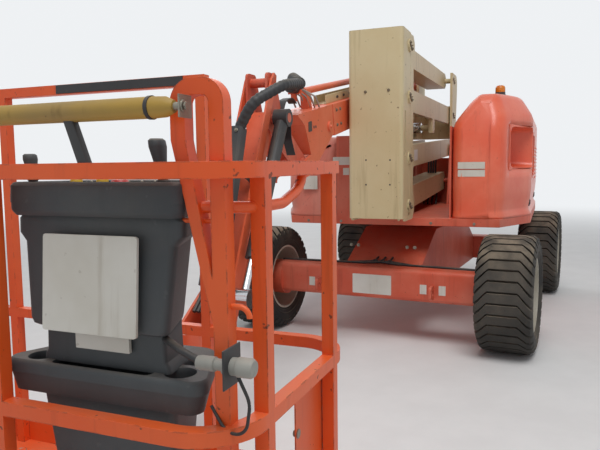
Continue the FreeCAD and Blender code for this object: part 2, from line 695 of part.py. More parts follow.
def hoods():
    """Engine hood with its recess and beacon, and the tank hood."""
    tall = hood("hood_engine", one.tall_inner, one.pan_right, 1, tall_section)
    tank = hood("hood_tank", one.low_hinge, one.pan_left, -1, low_section)
    for shell, line in ((tall, (one.tall_inner, one.tall_shoulder)), (tank, (-one.low_hinge, one.low_top))):
        for share in (-0.7, 0.7):
            shell.disc("YZ", line, one.hinge_dia, one.pad_length, share * one.pan_rear)
    front, rear = one.panel_front, one.panel_front - one.panel_length
    low, high = one.panel_low, one.panel_low + one.panel_height
    outer = one.pan_right
    edge = one.hood_wall
    tray = box(rear - edge, front + edge, low - edge, high + edge)
    tall.pad("XZ", tray, one.panel_depth, outer - one.panel_depth / 2)
    tall.cut("XZ", box(rear, front, low, high), one.panel_depth, outer - one.panel_depth / 2 + one.hood_wall)
    face = outer - one.panel_depth + one.hood_wall
    panel = Piece("ground_controls")
    inset = one.hood_wall
    panel.pad("XZ", box(rear + inset, front - inset, low + inset, high - inset, inset), one.panel_depth / 3,
              face + one.panel_depth / 6)
    on_turntable(panel)
    place = (one.pan_front - one.corner_run, (one.tall_crown_in + one.tall_crown_out) / 2)
    r, tall = one.beacon_dia / 2, one.beacon_height
    dome = [(0, 0), (r, 0), (r, tall / 5), (r * 0.84, tall / 4), (r * 0.84, tall * 0.75), (r / 2, tall), (0, tall)]
    on_turntable(Piece("beacon").turned("XZ", dome, "Z_Axis"), place[0], place[1], one.tall_top)


def arm_side(length, tall, tip):
    """Side of an arm from its rear pin, with cropped tips."""
    half, crop = tall / 2, tall / 4
    return [(-tip, -crop), (0, -half), (length, -half), (length + tip, -crop), (length + tip, crop),
            (length, half), (0, half), (-tip, crop)]


def arm(label, length, tall, width, wall, bore, eye, tip):
    """Hollow arm with a tube round each pin."""
    piece = Piece(label).pad("XZ", arm_side(length, tall, tip), width)
    piece.cut("XZ", box(-2 * tip, length + 2 * tip, wall - tall / 2, tall / 2 - wall), width - 2 * wall)
    for along in (0, length):
        piece.disc("XZ", (along, 0), eye, width)
        piece.bore("XZ", (along, 0), bore, 2 * width)
    return piece


def bars(label, length, tall, inner, wall, bore, eye, tip, cross):
    """Pair of side bars joined by a cross tube."""
    piece = Piece(label)
    for side in (-1, 1):
        piece.pad("XZ", arm_side(length, tall, tip), wall, side * (inner + wall / 2))
    piece.disc("XZ", cross, eye, 2 * inner + wall)
    for along in (0, length):
        piece.bore("XZ", (along, 0), bore, 4 * inner)
    return piece


def tower_arms():
    """Lower and upper parallelogram of the tower."""
    rear = -one.tower_rear
    width, wall, tip = one.arm_width, one.arm_wall, one.tip_reach
    lower = arm("tower_lower_arm", lower_length, one.lower_arm_tall, width, wall, pin_bore, eye_dia, tip)
    on_turntable(lower, rear, 0, one.lower_rear_z, lower_slope)
    upper = arm("tower_upper_arm", upper_length, one.upper_arm_tall, width, wall, pin_bore, eye_dia, tip)
    on_turntable(upper, rear, 0, one.upper_rear_z + one.upper_rise, -upper_slope)
    inner, bar = one.link_inner, one.link_wall
    cross = (lower_length / 2, 0)
    link = bars("tower_lower_link", lower_length, one.link_tall, inner, bar, pin_bore, one.pin_dia, tip, cross)
    on_turntable(link, rear, 0, one.lower_rear_z + one.lower_rise, lower_slope)
    across, up = one.tower_eye_x + one.tower_rear, one.tower_eye_z - one.upper_rear_z
    along = across * cosine(upper_slope) + up * sine(upper_slope)
    drop = up * cosine(upper_slope) - across * sine(upper_slope)
    link = bars("tower_upper_link", upper_length, one.link_tall, inner, bar, pin_bore, one.pin_dia, tip,
                (along / 2, 0))
    for side in (-1, 1):
        lug = box(along - eye_dia / 2, along + eye_dia / 2, drop - eye_dia / 2, 0)
        link.pad("XZ", lug, bar, side * (inner + bar / 2))
        link.disc("XZ", (along, drop), one.pin_dia, inner - ram_eye - one.slack,
                  side * (inner + ram_eye + one.slack) / 2)
    on_turntable(link, rear, 0, one.upper_rear_z, -upper_slope)


def upright():
    """Front upright of the tower: front wall, side plates, pins and their heads."""
    front, rear = one.upright_front, one.upright_front - one.upright_depth
    low = one.lower_front_z - one.upright_toe
    high = one.upper_front_z + one.upper_rise + one.upright_cap
    inner = one.tower_width / 2 - one.plate_wall
    half, corner, fold = one.tower_width / 2, one.head_dia, one.upright_fold
    wall = front - one.upright_face
    channel = [(rear, -half), (front, -half, fold), (front, half, fold), (rear, half), (rear, inner), (wall, inner),
               (wall, -inner), (rear, -inner)]
    piece = Piece("tower_upright").pad("XY", channel, high - low, (high + low) / 2)
    piece.cut("XZ", [(rear, low), (rear + corner, low), (rear, low + corner)], 2 * one.tower_width)
    wide = one.slot_wide / 2
    slot = box(one.slot_x - wide, one.slot_x + wide, one.slot_low, one.slot_high, wide * 0.9)
    piece.cut("XZ", slot, 2 * one.tower_width)
    piece.bore("XZ", (one.slot_x - wide, one.slot_high + 4 * one.upright_fold), wide, 2 * one.tower_width)
    upper = one.upper_front_z
    for level in (one.lower_front_z, one.lower_front_z + one.lower_rise, upper, upper + one.upper_rise):
        piece.disc("XZ", (one.tower_front, level), one.pin_dia, one.tower_width)
        for side in (-1, 1):
            piece.disc("XZ", (one.tower_front, level), one.head_dia, one.head_wall,
                       side * (one.tower_width + one.head_wall) / 2)
    piece.disc("XZ", (one.tower_ram_x, one.tower_ram_z), one.pin_dia, one.tower_width)
    on_turntable(piece)


def boom_mount():
    """Rear upright: three plates that hold the tower's upper pair, the boom's pivot and its cylinder."""
    rear, front = -one.boom_pivot_x, -one.tower_rear + one.head_dia
    tail_x, low = rear - one.head_dia, one.mount_low
    top = one.upper_rear_z + one.upper_rise + one.head_dia * 0.8
    plate = [(rear, low), (front, low), (front, top), (tail_x, top, one.head_dia),
             (tail_x, top - 2 * one.head_dia)]
    piece = Piece("boom_mount")
    inner = one.mount_inner
    outer = one.boom_side + one.boom_width / 2 + one.bar_gap
    middles = (inner + one.mount_wall / 2, -inner - one.mount_wall / 2, -outer - one.mount_wall / 2)
    for middle in middles:
        piece.pad("XZ", plate, one.mount_wall, middle)
    width = outer - inner
    piece.pad("XZ", box(rear, front, low, low + one.mount_wall), width, -(outer + inner) / 2)
    reach = inner + outer + 2 * one.mount_wall
    shift = (inner - outer) / 2
    back = box(rear, rear + one.mount_wall, low, one.boom_pivot_z - one.boom_tall)
    piece.pad("XZ", back, reach, shift)
    for level in (one.upper_rear_z, one.upper_rear_z + one.upper_rise):
        piece.disc("XZ", (-one.tower_rear, level), one.pin_dia, 2 * inner + one.mount_wall)
    for place, dia in (((-one.boom_pivot_x, one.boom_pivot_z), one.boom_pin_dia),
                       ((-one.boom_ram_x, one.boom_ram_z), one.pin_dia)):
        piece.disc("XZ", place, dia, width, -(outer + inner) / 2)
    on_turntable(piece)


ram_eye = one.pin_dia * 0.8


def ram(names, start, end, side, barrel_dia, rod_dia, closed, solid_eye=False):
    """Hydraulic cylinder and rod, drawn along X from the cylinder's pin to the rod's eye."""
    across, up = end[0] - start[0], end[1] - start[1]
    length = span(across, up)
    slope = arctangent(-up, across)
    barrel = Piece(names[0]).disc("XZ", (0, 0), eye_dia, 2 * ram_eye)
    gland = length * closed
    root = eye_dia * 0.35
    barrel.disc("YZ", (0, 0), barrel_dia, gland - root, (gland + root) / 2)
    barrel.bore("YZ", (0, 0), rod_dia + 2 * one.slack, gland, gland / 2 + eye_dia)
    barrel.bore("XZ", (0, 0), pin_bore, 4 * barrel_dia)
    rod = Piece(names[1]).disc("XZ", (length, 0), eye_dia, 2 * ram_eye)
    rear = eye_dia * 1.2
    tip = length - eye_dia * 0.35
    rod.disc("YZ", (0, 0), rod_dia, tip - rear, (tip + rear) / 2)
    if not solid_eye:
        rod.bore("XZ", (length, 0), pin_bore, 4 * barrel_dia)
    for piece in (barrel, rod):
        on_turntable(piece, start[0], side, start[1], slope)


def rams():
    """Cylinders of the tower, the main boom and the jib."""
    ram(("tower_cylinder", "tower_rod"), (one.tower_ram_x, one.tower_ram_z), (one.tower_eye_x, one.tower_eye_z),
        0, 2 * one.pin_dia, one.pin_dia, 0.7)
    fall = one.boom_slope_deg
    lug_x = one.boom_lug_at * cosine(fall) - one.boom_lug_drop * sine(fall) - one.boom_pivot_x
    lug_z = one.boom_pivot_z - one.boom_lug_at * sine(fall) - one.boom_lug_drop * cosine(fall)
    ram(("main_cylinder", "main_rod"), (-one.boom_ram_x, one.boom_ram_z), (lug_x, lug_z), boom_y,
        2.2 * one.pin_dia, 1.2 * one.pin_dia, 0.8)
    ram(("jib_cylinder", "jib_rod"), (one.base_pin_x, one.base_pin_z), (end_x, end_z + one.jib_rise),
        boom_y + one.jib_ram_side, 1.4 * one.pin_dia, 0.8 * one.pin_dia, 0.8, solid_eye=True)


def on_boom(piece):
    """Seat a piece drawn along the boom from its pivot."""
    return on_turntable(piece, -one.boom_pivot_x, boom_y, one.boom_pivot_z, one.boom_slope_deg)


def main_boom():
    """Outer boom tube with its pivot, its slide pads and the lug of its cylinder."""
    tail_x, tip, half, wide = -one.boom_tail, one.boom_length, one.boom_tall / 2, one.boom_width
    wall = one.boom_wall
    piece = Piece("main_boom").pad("XZ", box(tail_x, tip, -half, half), wide)
    piece.cut("XZ", box(tail_x - wall, tip - one.pad_length, wall - half, half - wall), wide - 2 * wall)
    slide = one.fly_tall / 2 + one.slack
    piece.cut("XZ", box(tip - 2 * one.pad_length, tip + wall, -slide, slide), one.fly_width + 2 * one.slack)
    eye = one.boom_pin_dia + 2 * one.eye_wall
    piece.disc("XZ", (0, 0), eye, wide)
    piece.bore("XZ", (0, 0), one.boom_pin_dia + 2 * one.slack, 2 * wide)
    at, drop = one.boom_lug_at, one.boom_lug_drop
    lug = [(at - eye, wall - half), (at - eye_dia / 2, -drop - eye_dia / 2, one.eye_wall),
           (at + eye_dia / 2, -drop - eye_dia / 2, one.eye_wall), (at + eye, wall - half)]
    for side in (-1, 1):
        piece.pad("XZ", lug, one.eye_wall, side * (ram_eye + one.slack + one.eye_wall / 2))
    on_boom(piece)


def fly_boom():
    """Inner boom tube with rear slide pads and the flared nose that carries the jib."""
    start, nose, half = one.fly_start, nose_start, one.fly_tall / 2
    wall = one.fly_wall
    piece = Piece("fly_boom").pad("XZ", box(start, nose + 3 * one.pad_length, -half, half), one.fly_width)
    seat = one.boom_tall / 2 - one.boom_wall - one.slack
    pads = box(start, start + one.pad_length, -seat, seat)
    piece.pad("XZ", pads, 2 * seat + one.boom_width - one.boom_tall)
    top, tip, plate = one.boom_tall / 2, nose + one.nose_length, one.nose_wall
    piece.pad("XZ", box(nose, nose + one.pad_length, -half, top), one.boom_width)
    hollow = box(start - wall, nose + 4 * one.pad_length, wall - half, half - wall)
    piece.cut("XZ", hollow, one.fly_width - 2 * wall)
    brow, throat = nose + 0.83 * one.nose_length, nose + 0.72 * one.nose_length
    pin, drop, r = nose_pin, one.nose_drop, one.boom_pin_dia
    cheek = [(nose, top), (tip, top), (brow, top - 1.2 * r), (throat, r - drop), (pin + r, r / 2 - drop),
             (pin + r, -drop - r, r / 2), (pin - r, -drop - r, r / 2), (nose, -half)]
    for side in (-1, 1):
        piece.pad("XZ", cheek, plate, side * (one.boom_width - plate) / 2)
    front = [(nose, top), (tip, top), (brow, top - 1.2 * r), (throat, r - drop), (throat - plate, r - drop),
             (brow - plate, top - 1.2 * r), (tip - 3 * plate, top - plate), (nose, top - plate)]
    piece.pad("XZ", front, one.boom_width - plate)
    piece.disc("XZ", (pin, -drop), r, one.boom_width)
    on_boom(piece)


def hose_carrier():
    """Hose tray on the main boom and the push tube that runs over it with the fly boom."""
    half = one.boom_tall / 2
    tray_start, tray_end = one.boom_tail, one.boom_length - one.nose_gap
    wall = one.fly_wall
    tray = Piece("hose_tray")
    tray.pad("XZ", box(tray_start, tray_end, half, half + one.tray_tall), one.tray_width)
    tray.cut("XZ", box(tray_start - wall, tray_end + wall, half + wall, half + 2 * one.tray_tall),
             one.tray_width - 2 * wall)
    on_boom(tray)
    tube = Piece("push_tube")
    end = nose_start + one.push_tube_reach
    start = one.track_start
    tube.disc("YZ", (0, one.push_tube_up), one.push_tube_dia, end - start, (end + start) / 2)
    bracket = box(end - one.pad_length, end, one.boom_tall / 2, one.push_tube_up)
    tube.pad("XZ", bracket, one.push_tube_dia)
    on_boom(tube)


jib_reach = one.jib_length * cosine(one.jib_slope_deg)
jib_fall = one.jib_length * sine(one.jib_slope_deg)
end_x = one.base_pin_x + jib_reach
end_z = one.base_pin_z - jib_fall


def jib_base():
    """Level bracket between the boom's nose and the jib."""
    fall = one.boom_slope_deg
    nose_x = nose_pin * cosine(fall) - one.nose_drop * sine(fall) - one.boom_pivot_x
    nose_z = one.boom_pivot_z - nose_pin * sine(fall) - one.nose_drop * cosine(fall)
    arm_x, arm_z = one.base_pin_x, one.base_pin_z
    link_z = arm_z + one.jib_rise
    r = one.pin_dia
    piece = Piece("jib_base")
    cheek = [(nose_x - r, nose_z - r, r / 2), (nose_x + r, nose_z - r, r / 2), (arm_x + r, arm_z - r, r / 2),
             (arm_x + r, link_z + r, r / 2), (arm_x - r, link_z + r, r / 2), (arm_x - 3 * r, arm_z, r / 2),
             (nose_x - r, nose_z + r, r / 2)]
    middle = (one.jib_width + one.cheek_wall) / 2 + 2 * one.slack
    for side in (-1, 1):
        piece.pad("XZ", cheek, one.cheek_wall, side * middle)
    inside = one.boom_width - 2 * one.nose_wall - 2 * one.slack
    piece.disc("XZ", (nose_x, nose_z), one.boom_pin_dia + 2 * one.eye_wall, inside)
    piece.bore("XZ", (nose_x, nose_z), one.boom_pin_dia + 2 * one.slack, 2 * inside)
    piece.disc("XZ", (arm_x, arm_z), one.pin_dia, 2 * middle)
    reach = one.jib_ram_side + ram_eye
    piece.disc("XZ", (arm_x, arm_z), one.pin_dia, reach - middle, (reach + middle) / 2)
    outer = middle + one.cheek_wall / 2 + one.bar_gap + one.bar_wall
    piece.disc("XZ", (arm_x, link_z), one.pin_dia, 2 * outer)
    on_turntable(piece, 0, boom_y, 0)


def jib_arms():
    """Jib arm and the flat bars that keep the platform level."""
    piece = arm("jib_arm", one.jib_length, one.jib_tall, one.jib_width, one.jib_wall, pin_bore,
                one.pin_dia + one.eye_wall, one.pin_dia)
    on_turntable(piece, one.base_pin_x, boom_y, one.base_pin_z, one.jib_slope_deg)
    inner = one.jib_width / 2 + one.cheek_wall + 2 * one.slack + one.bar_gap
    link = Piece("jib_link")
    for side in (-1, 1):
        link.pad("XZ", arm_side(one.jib_length, one.bar_tall, one.pin_dia), one.bar_wall,
                 side * (inner + one.bar_wall / 2))
    for along in (0, one.jib_length):
        link.bore("XZ", (along, 0), pin_bore, 4 * inner)
    on_turntable(link, one.base_pin_x, boom_y, one.base_pin_z + one.jib_rise, one.jib_slope_deg)


def jib_end():
    """Level bracket at the jib's foot with the housing of the platform rotator."""
    link_z = end_z + one.jib_rise
    r = one.pin_dia
    piece = Piece("jib_end")
    neck = one.rotator_x - one.rotator_dia / 2
    low = one.rotator_low + one.eye_wall
    cheek = [(end_x - r, end_z - r, r / 2), (end_x, low), (neck + r / 2, low), (neck + r / 2, one.rotator_top),
             (end_x + r, link_z + r, r / 2), (end_x - r, link_z + r, r / 2)]
    middle = (one.jib_width + one.cheek_wall) / 2 + 2 * one.slack
    for side in (-1, 1):
        piece.pad("XZ", cheek, one.cheek_wall, side * middle)
    piece.pad("XZ", box(neck - r / 2, neck + r / 2, low, one.rotator_top), 2 * middle)
    tall = one.rotator_top - one.rotator_low
    piece.disc("XY", (one.rotator_x, 0), one.rotator_dia, tall, one.rotator_low + tall / 2)
    piece.disc("XZ", (end_x, end_z), one.pin_dia, 2 * middle)
    outer = middle + one.cheek_wall / 2 + one.bar_gap + one.bar_wall
    piece.disc("XZ", (end_x, link_z), one.pin_dia, 2 * outer)
    on_turntable(piece, 0, boom_y, 0)


back_x = one.platform_front - one.platform_depth
side_y = one.platform_width / 2
rail_mid = one.rail_top - one.rail_size / 2
floor_top = one.floor_low + one.floor_wall


def rotator():
    """Rotator's flange and the arm that carries the platform floor."""
    piece = Piece("rotator")
    top = one.rotator_low - one.slack
    wall = one.floor_wall
    piece.disc("XY", (one.rotator_x, 0), one.rotator_dia, wall, top - wall / 2)
    post = box(one.rotator_x, back_x, one.floor_low, top)
    piece.pad("XZ", post, one.rotator_dia / 2)
    on_turntable(piece, 0, boom_y, 0)


def platform_floor():
    """Platform floor's frame and its deck plate inside the toe board."""
    plan = box(back_x, one.platform_front, -side_y, side_y, one.rail_corner)
    piece = Piece("platform_floor").pad("XY", plan, one.floor_wall, one.floor_low + one.floor_wall / 2)
    inset = one.deck_inset
    deck = box(back_x + inset, one.platform_front - inset, inset - side_y, side_y - inset, one.rail_corner)
    piece.pad("XY", deck, 2 * one.deck_wall, floor_top)
    on_turntable(piece, 0, boom_y, 0)


def rail_ring(piece, wall, tall, middle):
    """Ring of tube round the platform."""
    outer = box(back_x, one.platform_front, -side_y, side_y, one.rail_corner)
    inner = box(back_x + wall, one.platform_front - wall, wall - side_y, side_y - wall, one.rail_corner - wall)
    piece.pad("XY", outer, tall, middle)
    piece.cut("XY", inner, tall, middle)


def platform_rails():
    """Toe board, mid rail, top rail, posts and the raised rail behind the operator."""
    piece = Piece("platform_rails")
    tube = one.rail_size
    rail_ring(piece, one.toe_wall, one.toe_tall, floor_top + one.toe_tall / 2)
    rail_ring(piece, tube, tube, rail_mid)
    rail_ring(piece, tube, tube, rail_mid - one.rail_step)
    door = box(back_x + one.rail_corner + tube, one.platform_front - one.rail_corner - tube,
               -side_y - tube, -side_y + 2 * tube)
    top = one.rail_top - tube
    piece.cut("XY", door, top - floor_top, (top + floor_top) / 2)
    posts = [(x, y) for y in (-side_y, side_y - tube)
             for x in (back_x + one.rail_corner, one.platform_front - one.rail_corner - tube)]
    for x, half in ((back_x, one.raised_half), (one.platform_front - tube, one.front_half)):
        posts += [(x, -half - tube / 2), (x, half - tube / 2)]
    for x, y in posts:
        piece.pad("XY", box(x, x + tube, y, y + tube), top - floor_top, (top + floor_top) / 2)
    high = one.raised_top
    for y in (-one.raised_half, one.raised_half):
        stand = box(back_x, back_x + tube, one.rail_top, high)
        piece.pad("XZ", stand, tube, y)
    piece.pad("XZ", box(back_x, back_x + tube, high - tube, high), 2 * one.raised_half + tube)
    right, left = one.hoop_side + tube / 2, one.hoop_side + tube / 2 - one.hoop_wide
    foot, high, bend = one.hoop_foot, one.hoop_top, one.hoop_bend
    bow = high - one.hoop_wide
    piece.pad("YZ", [(right - tube, foot), (right, foot), (right, high, bend), (left, high, bend), (left, bow)],
              tube, one.hoop_x)
    piece.cut("YZ", [(right - tube, foot + 3 * tube), (right - tube, high - tube, bend - tube),
                     (left + tube, high - tube, bend - tube), (left + tube, bow)], tube, one.hoop_x)
    piece.pad("YZ", box(right - tube, right, floor_top, foot + 3 * tube), tube, one.hoop_x)
    on_turntable(piece, 0, boom_y, 0)


def guard_bar():
    """Yellow guard bar in front of the operator, on its brackets."""
    front, half, r = one.platform_front - one.rail_size / 2, one.bar_half, one.bar_dia / 2
    piece = Piece("guard_bar")
    piece.turned("YZ", [(-half, 0), (-half, r / 3), (2 * r - half, r), (half - 2 * r, r), (half, r / 3), (half, 0)],
                 "Y_Axis")
    drop = one.rail_top - one.bar_up
    for share in (-0.86, 0.37, 0.86):
        piece.pad("XZ", box(-r / 2, r / 2, drop, 0), r, share * half)
    on_turntable(piece, front, boom_y + one.bar_side, one.bar_up)


def console():
    """Operator's console inside the front rail, and the storage tray under it."""
    front = one.platform_front - one.rail_size
    rear = front - one.console_depth
    left, right = one.console_side - one.console_width / 2, one.console_side + one.console_width / 2
    inset, wall = one.rail_size, one.toe_wall
    lid_low = one.console_top - one.console_lid
    lid = Piece("console_lid")
    lid.pad("XY", box(rear, front, left, right, inset), one.console_lid, one.console_top - one.console_lid / 2)
    on_turntable(lid, 0, boom_y, 0)
    body = Piece("console_body")
    narrow, low = inset + one.console_taper, one.console_low
    face = [(left + inset, lid_low), (left + narrow, low, inset), (right - narrow, low, inset),
            (right - inset, lid_low)]
    body.pad("YZ", face, one.console_depth - inset, (rear + inset + front) / 2)
    on_turntable(body, 0, boom_y, 0)
    shelf = Piece("storage_tray")
    middle = one.tray_low + one.storage_tall / 2
    shelf.pad("XY", box(rear - inset, front, left - inset, right + inset, inset), one.storage_tall, middle)
    hollow = box(rear - inset + wall, front - wall, left - inset + wall, right + inset - wall, inset - wall)
    shelf.cut("XY", hollow, one.storage_tall, middle + wall)
    neck, half = one.console_low - one.tray_low - wall, one.neck_width / 2
    bracket = box(rear + 2 * inset, front, one.console_side - half, one.console_side + half, inset)
    shelf.pad("XY", bracket, neck, one.tray_low + wall + neck / 2)
    reach = one.console_width / 2 - one.cup_dia / 3
    for side in (-1, 1):
        centre = (front - one.cup_dia, one.console_side + side * reach)
        cup = one.storage_tall * 0.9
        shelf.disc("XY", centre, one.cup_dia + 2 * wall, cup, one.tray_low + cup / 2)
        shelf.bore("XY", centre, one.cup_dia, cup, one.tray_low + cup / 2 + wall)
    on_turntable(shelf, 0, boom_y, 0)


def entry_gate():
    """Entry gate in the platform's left end, hinged at the rear post."""
    tube, gap = one.rail_size, one.gate_gap
    post_x = back_x + one.rail_corner + tube
    hinge_x = post_x + gap
    low, high = floor_top + gap, one.rail_top - tube - gap
    end = one.platform_front - one.rail_corner - tube - gap
    piece = Piece("entry_gate")
    middle = -side_y + tube / 2
    piece.pad("XZ", box(hinge_x, end, low, high), tube, middle)
    rail_low = rail_mid - one.rail_step - tube / 2
    piece.cut("XZ", box(hinge_x + tube, end - tube, low + tube, rail_low), 2 * tube, middle)
    piece.cut("XZ", box(hinge_x + tube, end - tube, rail_low + tube, high - tube), 2 * tube, middle)
    face = -side_y + tube
    for level in (low + tube, rail_low + tube / 2, high - tube):
        leaf = box(post_x, hinge_x + tube, face + one.slack, face + one.gate_barrel)
        piece.pad("XY", leaf, tube, level)
        piece.pad("XY", box(hinge_x, hinge_x + tube, face - gap, face + one.gate_barrel), tube, level)
        piece.disc("XY", (post_x, face + one.slack + one.gate_barrel / 2), one.gate_barrel, tube, level)
    on_turntable(piece, 0, boom_y, 0)


chassis_frame()
fixed_axle()
steer_axle()
knuckle("knuckle_left", -1)
knuckle("knuckle_right", 1)
steer_link()
wheels()
turntable_frame()
counterweight()
engine_block()
hoods()
tower_arms()
upright()
boom_mount()
main_boom()
fly_boom()
hose_carrier()
jib_base()
jib_arms()
jib_end()
rams()
rotator()
platform_floor()
platform_rails()
guard_bar()
console()
entry_gate()

doc.recompute()
faults = [item.Name for item in doc.Objects if "Invalid" in item.State or "Error" in item.State]
faults += [node.Label for node in nodes if node.Shape.isNull() or not node.Shape.isValid()]
if faults:
    raise RuntimeError("These did not build: " + ", ".join(faults))
os.makedirs("parts", exist_ok=True)
for node in nodes:
    node.Shape.exportStep(f"parts/{node.Label}.step")
print(len(nodes), "sub-parts; swing axis at x =", round(swing_x.number, 3))
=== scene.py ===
# %% [markdown]
# # An articulating boom lift
# A boom lift is a work platform on a folding arm: a riser tower lifts the boom, the boom reaches out, and a
# small jib holds the railed platform level. The solids come from a CAD frame with real joints. This script
# gives them their finish and adds the detail that a camera two steps away would see.

# %% Load the frame
import json
import math

import bmesh
import bpy
import numpy as np
from mathutils import Matrix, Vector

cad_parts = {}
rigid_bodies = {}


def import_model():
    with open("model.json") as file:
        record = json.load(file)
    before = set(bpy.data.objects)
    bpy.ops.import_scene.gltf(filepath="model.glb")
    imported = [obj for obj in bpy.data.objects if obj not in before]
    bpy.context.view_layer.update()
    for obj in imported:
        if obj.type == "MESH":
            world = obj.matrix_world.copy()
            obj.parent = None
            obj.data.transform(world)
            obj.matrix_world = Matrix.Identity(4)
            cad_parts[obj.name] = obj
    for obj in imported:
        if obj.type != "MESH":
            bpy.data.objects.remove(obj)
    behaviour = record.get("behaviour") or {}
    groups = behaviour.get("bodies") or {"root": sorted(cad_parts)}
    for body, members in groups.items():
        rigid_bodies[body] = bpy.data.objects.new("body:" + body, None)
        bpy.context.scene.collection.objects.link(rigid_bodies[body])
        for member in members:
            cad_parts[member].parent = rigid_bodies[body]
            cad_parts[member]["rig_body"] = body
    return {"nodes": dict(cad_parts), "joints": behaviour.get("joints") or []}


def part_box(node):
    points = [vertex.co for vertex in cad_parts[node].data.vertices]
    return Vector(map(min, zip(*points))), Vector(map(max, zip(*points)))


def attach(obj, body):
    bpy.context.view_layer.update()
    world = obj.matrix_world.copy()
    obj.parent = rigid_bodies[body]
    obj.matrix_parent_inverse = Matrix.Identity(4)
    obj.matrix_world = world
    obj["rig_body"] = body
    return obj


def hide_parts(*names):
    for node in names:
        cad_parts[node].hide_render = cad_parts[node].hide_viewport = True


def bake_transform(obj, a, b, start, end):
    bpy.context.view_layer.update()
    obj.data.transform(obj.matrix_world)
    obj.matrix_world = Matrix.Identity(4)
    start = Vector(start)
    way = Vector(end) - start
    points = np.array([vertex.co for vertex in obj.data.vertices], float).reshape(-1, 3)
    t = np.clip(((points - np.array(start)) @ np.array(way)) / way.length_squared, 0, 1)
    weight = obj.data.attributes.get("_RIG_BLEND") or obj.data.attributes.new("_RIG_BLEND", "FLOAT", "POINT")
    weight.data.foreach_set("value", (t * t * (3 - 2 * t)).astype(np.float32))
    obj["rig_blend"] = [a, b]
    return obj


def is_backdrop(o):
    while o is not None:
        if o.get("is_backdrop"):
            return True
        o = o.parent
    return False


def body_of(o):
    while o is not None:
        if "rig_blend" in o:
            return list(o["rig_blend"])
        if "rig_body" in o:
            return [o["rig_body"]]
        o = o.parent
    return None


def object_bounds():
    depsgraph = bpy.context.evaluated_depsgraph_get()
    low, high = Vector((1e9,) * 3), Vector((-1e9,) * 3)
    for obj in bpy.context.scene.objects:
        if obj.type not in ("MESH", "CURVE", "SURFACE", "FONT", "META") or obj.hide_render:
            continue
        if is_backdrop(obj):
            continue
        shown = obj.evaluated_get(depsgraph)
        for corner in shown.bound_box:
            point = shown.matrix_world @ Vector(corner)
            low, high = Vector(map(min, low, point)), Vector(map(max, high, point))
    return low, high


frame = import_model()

cad_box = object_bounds()
joints = {row["name"]: row for row in frame["joints"]}


def at(name):
    """Where a joint's axis passes, in metres."""
    return np.array(joints[name]["pos_m"])


SWING = at("swing")
BOOM_PIN = at("main_lift")
ALONG = np.array(joints["fly_extend"]["axis"])
ACROSS = np.array([0.0, 1.0, 0.0])
UP = np.cross(ALONG, ACROSS)

# %% [markdown]
# ## The camera
# The photograph was taken by someone standing a step in front of the platform's right end. The lens, place
# and tilt were worked out from the tyres, the axle beam, the tower and the platform's rails. A camera looks
# along its own -Z, so its matrix has the right, up and backward directions as columns.

# %% Set the camera
LENS_PIXELS = 619.1
EYE = np.array([5.807, 1.141, 1.346]) + [SWING[0], 0, 0]
YAW, PITCH, TILT = np.radians([22.05, 5.56, -0.69])

forward = np.array([-math.cos(PITCH) * math.cos(YAW), -math.cos(PITCH) * math.sin(YAW), -math.sin(PITCH)])
level = np.array([-math.sin(YAW), math.cos(YAW), 0])
above = np.cross(level, forward)
right = level * math.cos(TILT) + above * math.sin(TILT)
upward = above * math.cos(TILT) - level * math.sin(TILT)
camera = bpy.data.objects.new("camera", bpy.data.cameras.new("camera"))
camera.data.sensor_width = 36
camera.data.lens = LENS_PIXELS * 36 / 600
camera.data.clip_end = 200
pose = np.eye(4)
pose[:3, 0], pose[:3, 1], pose[:3, 2], pose[:3, 3] = right, upward, -forward, EYE
camera.matrix_world = Matrix(pose.tolist())
bpy.context.scene.collection.objects.link(camera)
bpy.context.scene.camera = camera
print("camera", round(camera.data.lens, 1), "mm lens at", EYE.round(2))

# %% [markdown]
# ## Helpers for node trees
# Every colour, mask and light below is worked out by a tree of nodes. These helpers add a node with its values
# and links in one line, and they mix, ramp and scatter the results.

# %% Node helpers
def srgb(red, green, blue):
    """Display values from 0 to 255 as linear light: ((c/255 + 0.055) / 1.055) to the power 2.4, or c/12.92 near
    0."""
    c = np.array([red, green, blue]) / 255
    return tuple(np.where(c > 0.04045, ((c + 0.055) / 1.055) ** 2.4, c / 12.92)) + (1,)


def clear_nodes(owner):
    """Turns on the owner's nodes, empties its tree and returns the tree."""
    owner.use_nodes = True
    owner.node_tree.nodes.clear()
    return owner.node_tree


def add(tree, kind, inputs=(), **settings):
    """Adds a node, sets its settings, and gives each named input a value or a link."""
    node = tree.nodes.new("ShaderNode" + kind)
    for key, value in settings.items():
        setattr(node, key, value)
    for key, value in dict(inputs).items():
        if isinstance(value, bpy.types.NodeSocket):
            tree.links.new(value, node.inputs[key])
        else:
            node.inputs[key].default_value = value
    return node


def math_of(tree, operation, *values):
    """A Math node's output: operation on one, two or three values or sockets."""
    return add(tree, "Math", dict(enumerate(values)), operation=operation).outputs[0]


def ramp(tree, value, low, high):
    """value mapped smoothly from low..high to 0..1 and held there."""
    inputs = {"Value": value, "From Min": low, "From Max": high}
    return add(tree, "MapRange", inputs, interpolation_type="SMOOTHSTEP").outputs["Result"]


def mix(tree, share, first, second, blend="MIX"):
    """first and second colours mixed by share."""
    node = add(tree, "Mix", data_type="RGBA", blend_type=blend)
    for slot, value in ((0, share), (6, first), (7, second)):
        if isinstance(value, bpy.types.NodeSocket):
            tree.links.new(value, node.inputs[slot])
        else:
            node.inputs[slot].default_value = value
    return node.outputs[2]


